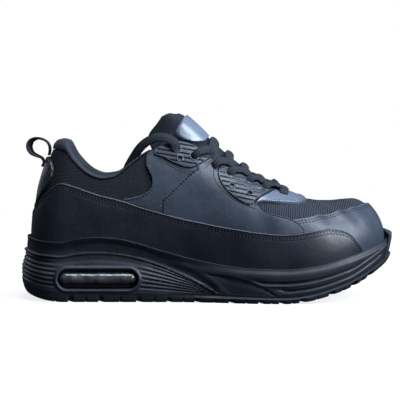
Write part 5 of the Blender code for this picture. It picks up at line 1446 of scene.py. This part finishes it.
def make_air_cells(look):
    """The tube behind each window, with rounded ends and a slightly uneven wall."""
    cx, cz = WINDOW["centre"]
    half = WINDOW["length"] / 2 - 0.0012
    body = half - 0.006
    xs = np.concatenate([np.linspace(-half, -body, 12), np.linspace(-body, body, 60)[1:-1],
                         np.linspace(body, half, 12)])
    angle = 2 * math.pi * np.arange(40) / 40
    scale = np.sqrt(np.clip(1 - (np.maximum(np.abs(xs) - body, 0) / 0.0061) ** 2, 0.02, 1))
    radius = (AIR_CELL_RADIUS * scale * (1 + 0.015 * np.sin(xs * 420) + 0.01 * np.sin(xs * 910 + 1)))[:, None]
    for side, label in ((-1, "outer"), (1, "inner")):
        centre = side * (window_wall(side) - WINDOW["depth"] + AIR_CELL_RADIUS + 2 * GAP)
        grid = np.stack([cx + xs[:, None] + 0 * angle, centre + radius * np.cos(angle),
                         cz + 0.0008 + radius * np.sin(angle)], -1)
        count = len(xs) * len(angle)
        faces = [tuple(f) for f in grid_faces(*grid.shape[:2], ring=True)]
        faces += [tuple(range(40)), tuple(range(count - 1, count - 41, -1))]
        piece(f"air_cell_tube_{label}", grid, faces, look, (f"air_cell_{label}",), None, sharp=60,
              merge=True)


def groove_shape(x, centres, width):
    """1 in the middle of any of a row of grooves and 0 beside them."""
    away = np.abs(np.asarray(x)[..., None] - np.array(centres)).min(-1)
    return 1 - ease(width / 2 - 0.0003, width / 2 + 0.0003, away)


def tread_depth(x, share):
    """How deep the tread is cut, 0 to 1: zigzag cross grooves, fine sipes and the long channels."""
    bend = 0.0065 * np.abs(np.mod(share * 3 + 0.5, 1) * 2 - 1)
    across = x + bend - bend[0]
    main = groove_shape(across, TREAD_GROOVES, 0.004)
    fine = groove_shape(across, TREAD_SIPES, 0.0012)
    long = groove_shape(np.broadcast_to(share, x.shape) + 0.012 * np.sin(x * 260), TREAD_CHANNELS, 0.034)
    long *= smooth(TREAD_MIDDLE, 1, share) > 0.98
    long *= ease(-0.112, -0.104, x) * (1 - ease(0.108, 0.116, x))
    return np.maximum(np.maximum(main, 0.42 * fine), 0.8 * long)


def tread_wall(turn, edge, first, cut):
    """The outsole's side: from the tread's edge out and up to the midsole, then over the bumper and down."""
    place = fold(turn)[1]
    floor = floor_height(share_at(edge[:, 0]))
    mid = outline(turn, -0.0012)
    mid_floor = floor_height(share_at(mid[:, 0]))
    line = outsole_height(share_at(mid[:, 0]))
    wall = [first]
    for up, out in ((0.2, 0.45), (0.45, 0.8), (0.72, 1.0)):
        top = floor * (1 - out) + mid_floor * out + (line - mid_floor) * up
        back = 0.0022 * cut * (1 - ease(0.6, 0.72, up))
        flat = edge * (1 - out) + mid * out - outline_normal(turn) * back[:, None]
        wall.append(np.concatenate([flat, np.maximum(top, floor + LUG_DEPTH * cut * 0.95)[:, None]], -1))
    rise, toe = ease(0.918, 0.972, place), ease(0.905, 0.94, place)
    wall += [bumper_point(turn, fraction, rise, toe, 1.0) for fraction in np.linspace(0, 0.9, 10)]
    wall += [bumper_point(turn, fraction, rise, toe, outside) for fraction, outside in BUMPER_EDGE]
    return np.stack(wall, 1)


def make_outsole(look):
    """The rubber tread and the bumper up the toe."""
    place = np.linspace(0, 1, 620)
    outer, inner = place / 2, 1 - place / 2
    near, away = outline(outer, -TREAD_EDGE), outline(inner, -TREAD_EDGE)
    share = np.linspace(0, 1, 57)
    flat = near[:, None] * (1 - share[None, :, None]) + away[:, None] * share[None, :, None]
    deep = tread_depth(flat[..., 0], share)
    height = floor_height(share_at(flat[..., 0])) + LUG_DEPTH * deep
    tread = np.concatenate([flat, height[..., None]], -1)
    left = tread_wall(outer, near, tread[:, 0], deep[:, 0])
    right = tread_wall(inner, away, tread[:, -1], deep[:, -1])
    grid = np.concatenate([right[:, :0:-1], tread[:, ::-1], left[:, 1:]], 1)
    width = grid.shape[1]
    faces = [tuple(f) for f in grid_faces(*grid.shape[:2])]
    starts = range(0, (len(place) - 1) * width, width)
    faces += [(a, a + width - 1, a + 2 * width - 1, a + width) for a in starts]
    piece("outsole_tread", grid, faces, look, ("outsole",), None, sharp=45, merge=True)


def area(name, place, target, size, power, colour):
    """A soft light that faces a point."""
    data = bpy.data.lights.new(name, "AREA")
    data.shape = "RECTANGLE"
    data.size, data.size_y = size
    data.energy = power
    data.color = colour
    made = bpy.data.objects.new(name, data)
    made.location = place
    x, y, z = unit(np.array(target, float) - np.array(place, float))
    made.rotation_euler = (math.acos(-z), 0.0, math.atan2(-x, y))
    bpy.context.scene.collection.objects.link(made)


def make_camera():
    tilt = math.radians(CAMERA_TILT)
    camera = bpy.data.objects.new("camera", bpy.data.cameras.new("camera"))
    camera.location = (-0.006, -CAMERA_DISTANCE * math.cos(tilt), 0.0785 + CAMERA_DISTANCE * math.sin(tilt))
    camera.rotation_euler = (math.pi / 2 - tilt, 0, 0)
    camera.data.angle = CAMERA_ANGLE
    camera.data.clip_start = 0.05
    bpy.context.scene.collection.objects.link(camera)
    bpy.context.scene.camera = camera


def make_world():
    """White to the camera, dim blue light for the shoe."""
    world = bpy.data.worlds.new("world")
    world.use_nodes = True
    tree = world.node_tree
    shown, lit = tree.nodes["Background"], tree.nodes.new("ShaderNodeBackground")
    lit.inputs["Color"].default_value = (0.48, 0.6, 0.84, 1)
    lit.inputs["Strength"].default_value = 0.09
    shown.inputs["Color"].default_value = (1, 1, 1, 1)
    shown.inputs["Strength"].default_value = 1.0
    path, mix = tree.nodes.new("ShaderNodeLightPath"), tree.nodes.new("ShaderNodeMixShader")
    tree.links.new(path.outputs["Is Camera Ray"], mix.inputs[0])
    tree.links.new(lit.outputs[0], mix.inputs[1])
    tree.links.new(shown.outputs[0], mix.inputs[2])
    tree.links.new(mix.outputs[0], tree.nodes["World Output"].inputs["Surface"])
    bpy.context.scene.world = world
    bpy.context.scene.view_settings.view_transform = "Standard"


def make_floor():
    """A floor that fades into the white behind it: it glows with painted light, stronger further from the
    shoe, and is hidden from the shoe's diffuse and glossy rays.
    """
    look = Look("floor", 0.9, 0.0)
    away = look.add("VectorMath", {0: look.place()}, operation="LENGTH").outputs["Value"]
    far = look.spread(away, 0.25, 1.1, 0, 1)
    look.colour(look.mix(far, (0.25, 0.25, 0.26), (0.0, 0.0, 0.0)))
    # Painted light: the floor's glow rises from 0.8 near the shoe to 1.0 far away
    look.tree.links.new(look.mix(far, (0.8, 0.8, 0.8), (1.0, 1.0, 1.0)), look.shader.inputs["Emission Color"])
    look.shader.inputs["Emission Strength"].default_value = 1.0
    mesh = bpy.data.meshes.new("floor")
    corners = [(x, y, FLOOR_LEVEL) for x, y in ((-60, -60), (60, -60), (60, 60), (-60, 60))]
    mesh.from_pydata(corners, [], [(0, 1, 2, 3)])
    mesh.materials.append(look.material)
    floor = bpy.data.objects.new("floor", mesh)
    bpy.context.scene.collection.objects.link(floor)
    floor.visible_diffuse = False
    floor.visible_glossy = False


def make_studio():
    make_camera()
    area("key", (1.15, -0.65, 0.85), (0.07, 0, 0.05), (0.8, 0.8), 40.0, (0.8, 0.9, 1.0))
    area("top", (0.2, -0.3, 1.3), (0.02, 0, 0.06), (1.0, 0.7), 25.0, (0.83, 0.92, 1.0))
    area("front", (0.9, -1.3, 0.3), (0.1, 0, 0.05), (0.7, 0.6), 4.0, (0.86, 0.93, 1.0))
    area("back", (-0.9, 0.7, 0.7), (-0.1, 0, 0.08), (0.7, 0.7), 3.0, (0.86, 0.93, 1.0))
    make_world()
    make_floor()


def main():
    for old in list(bpy.data.objects):
        bpy.data.objects.remove(old)
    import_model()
    make_studio()
    quarter = leather_look("quarter_leather", (0.02, 0.025, 0.038), (0.042, 0.052, 0.077))
    # edge on the cap and the counter paints a highlight along their rolled top edges
    cap = leather_look("toe_cap_leather", (0.022, 0.028, 0.042), (0.046, 0.057, 0.084), 0.42,
                       seams=[1000 * d for d in TOE_CAP_SEAMS], edge=0.6)
    # Painted shade: the mudguard's leather is the cap's leather made about three times darker, for the shade
    # round the heel
    shaded_counter = leather_look("counter_leather", (0.006, 0.0075, 0.011), (0.017, 0.0205, 0.03), 0.42,
                           seams=[1000 * d for d in MUDGUARD_SEAMS], edge=0.9)
    tab = leather_look("heel_tab_rubber", (0.008, 0.01, 0.015), (0.02, 0.024, 0.034), 0.42, 0.15)
    shiny = leather_look("shiny_leather", (0.075, 0.092, 0.128), (0.14, 0.168, 0.225), 0.3, 0.22, 0.6)
    cloth = weave_look("mesh_cloth", (0.0008, 0.001, 0.0016), (0.019, 0.0235, 0.035), 1.5)
    vamp = rib_look("vamp_cloth", (0.0015, 0.0018, 0.0028), (0.05, 0.06, 0.086), 1.45, 1.3)
    tongue = rib_look("tongue_cloth", (0.002, 0.0025, 0.004), (0.034, 0.042, 0.061), 1.3, 2.4)
    lining = weave_look("lining", (0.01, 0.012, 0.018), (0.034, 0.041, 0.06), 0.8, 0.75, 0.35, 0.35)
    plate = rubber_look("plate_tpu", (0.02, 0.025, 0.037), (0.034, 0.042, 0.06), 0.42, 0.45)
    lace = band_look("lace_webbing", (0.004, 0.005, 0.008), (0.03, 0.036, 0.052))
    webbing = band_look("loop_webbing", (0.003, 0.004, 0.006), (0.022, 0.027, 0.04))
    foam = rubber_look("midsole_foam", (0.008, 0.01, 0.015), (0.018, 0.022, 0.032))
    rubber = rubber_look("outsole_rubber", (0.01, 0.012, 0.018), (0.024, 0.029, 0.042), 0.6)

    make_upper_shell(cloth, vamp, lining)
    make_mudguard(shaded_counter)
    make_toe_cap(cap)
    for side, label in ((-1, "outer"), (1, "inner")):
        make_quarter(quarter, side, label)
        make_plates(plate, side, label)
    make_throat_piece(shiny)
    make_heel_tab(tab)
    make_tongue(tongue)
    make_tongue_patch(shiny)
    make_collar(lining)
    make_insole(lining)
    make_pull_loop(webbing)
    make_laces(lace)
    make_lace_end(lace)
    make_midsole(foam)
    make_window_rims(foam)
    make_air_cells(cell_look())
    make_outsole(rubber)
    make_threads(thread_look())

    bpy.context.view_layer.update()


main()
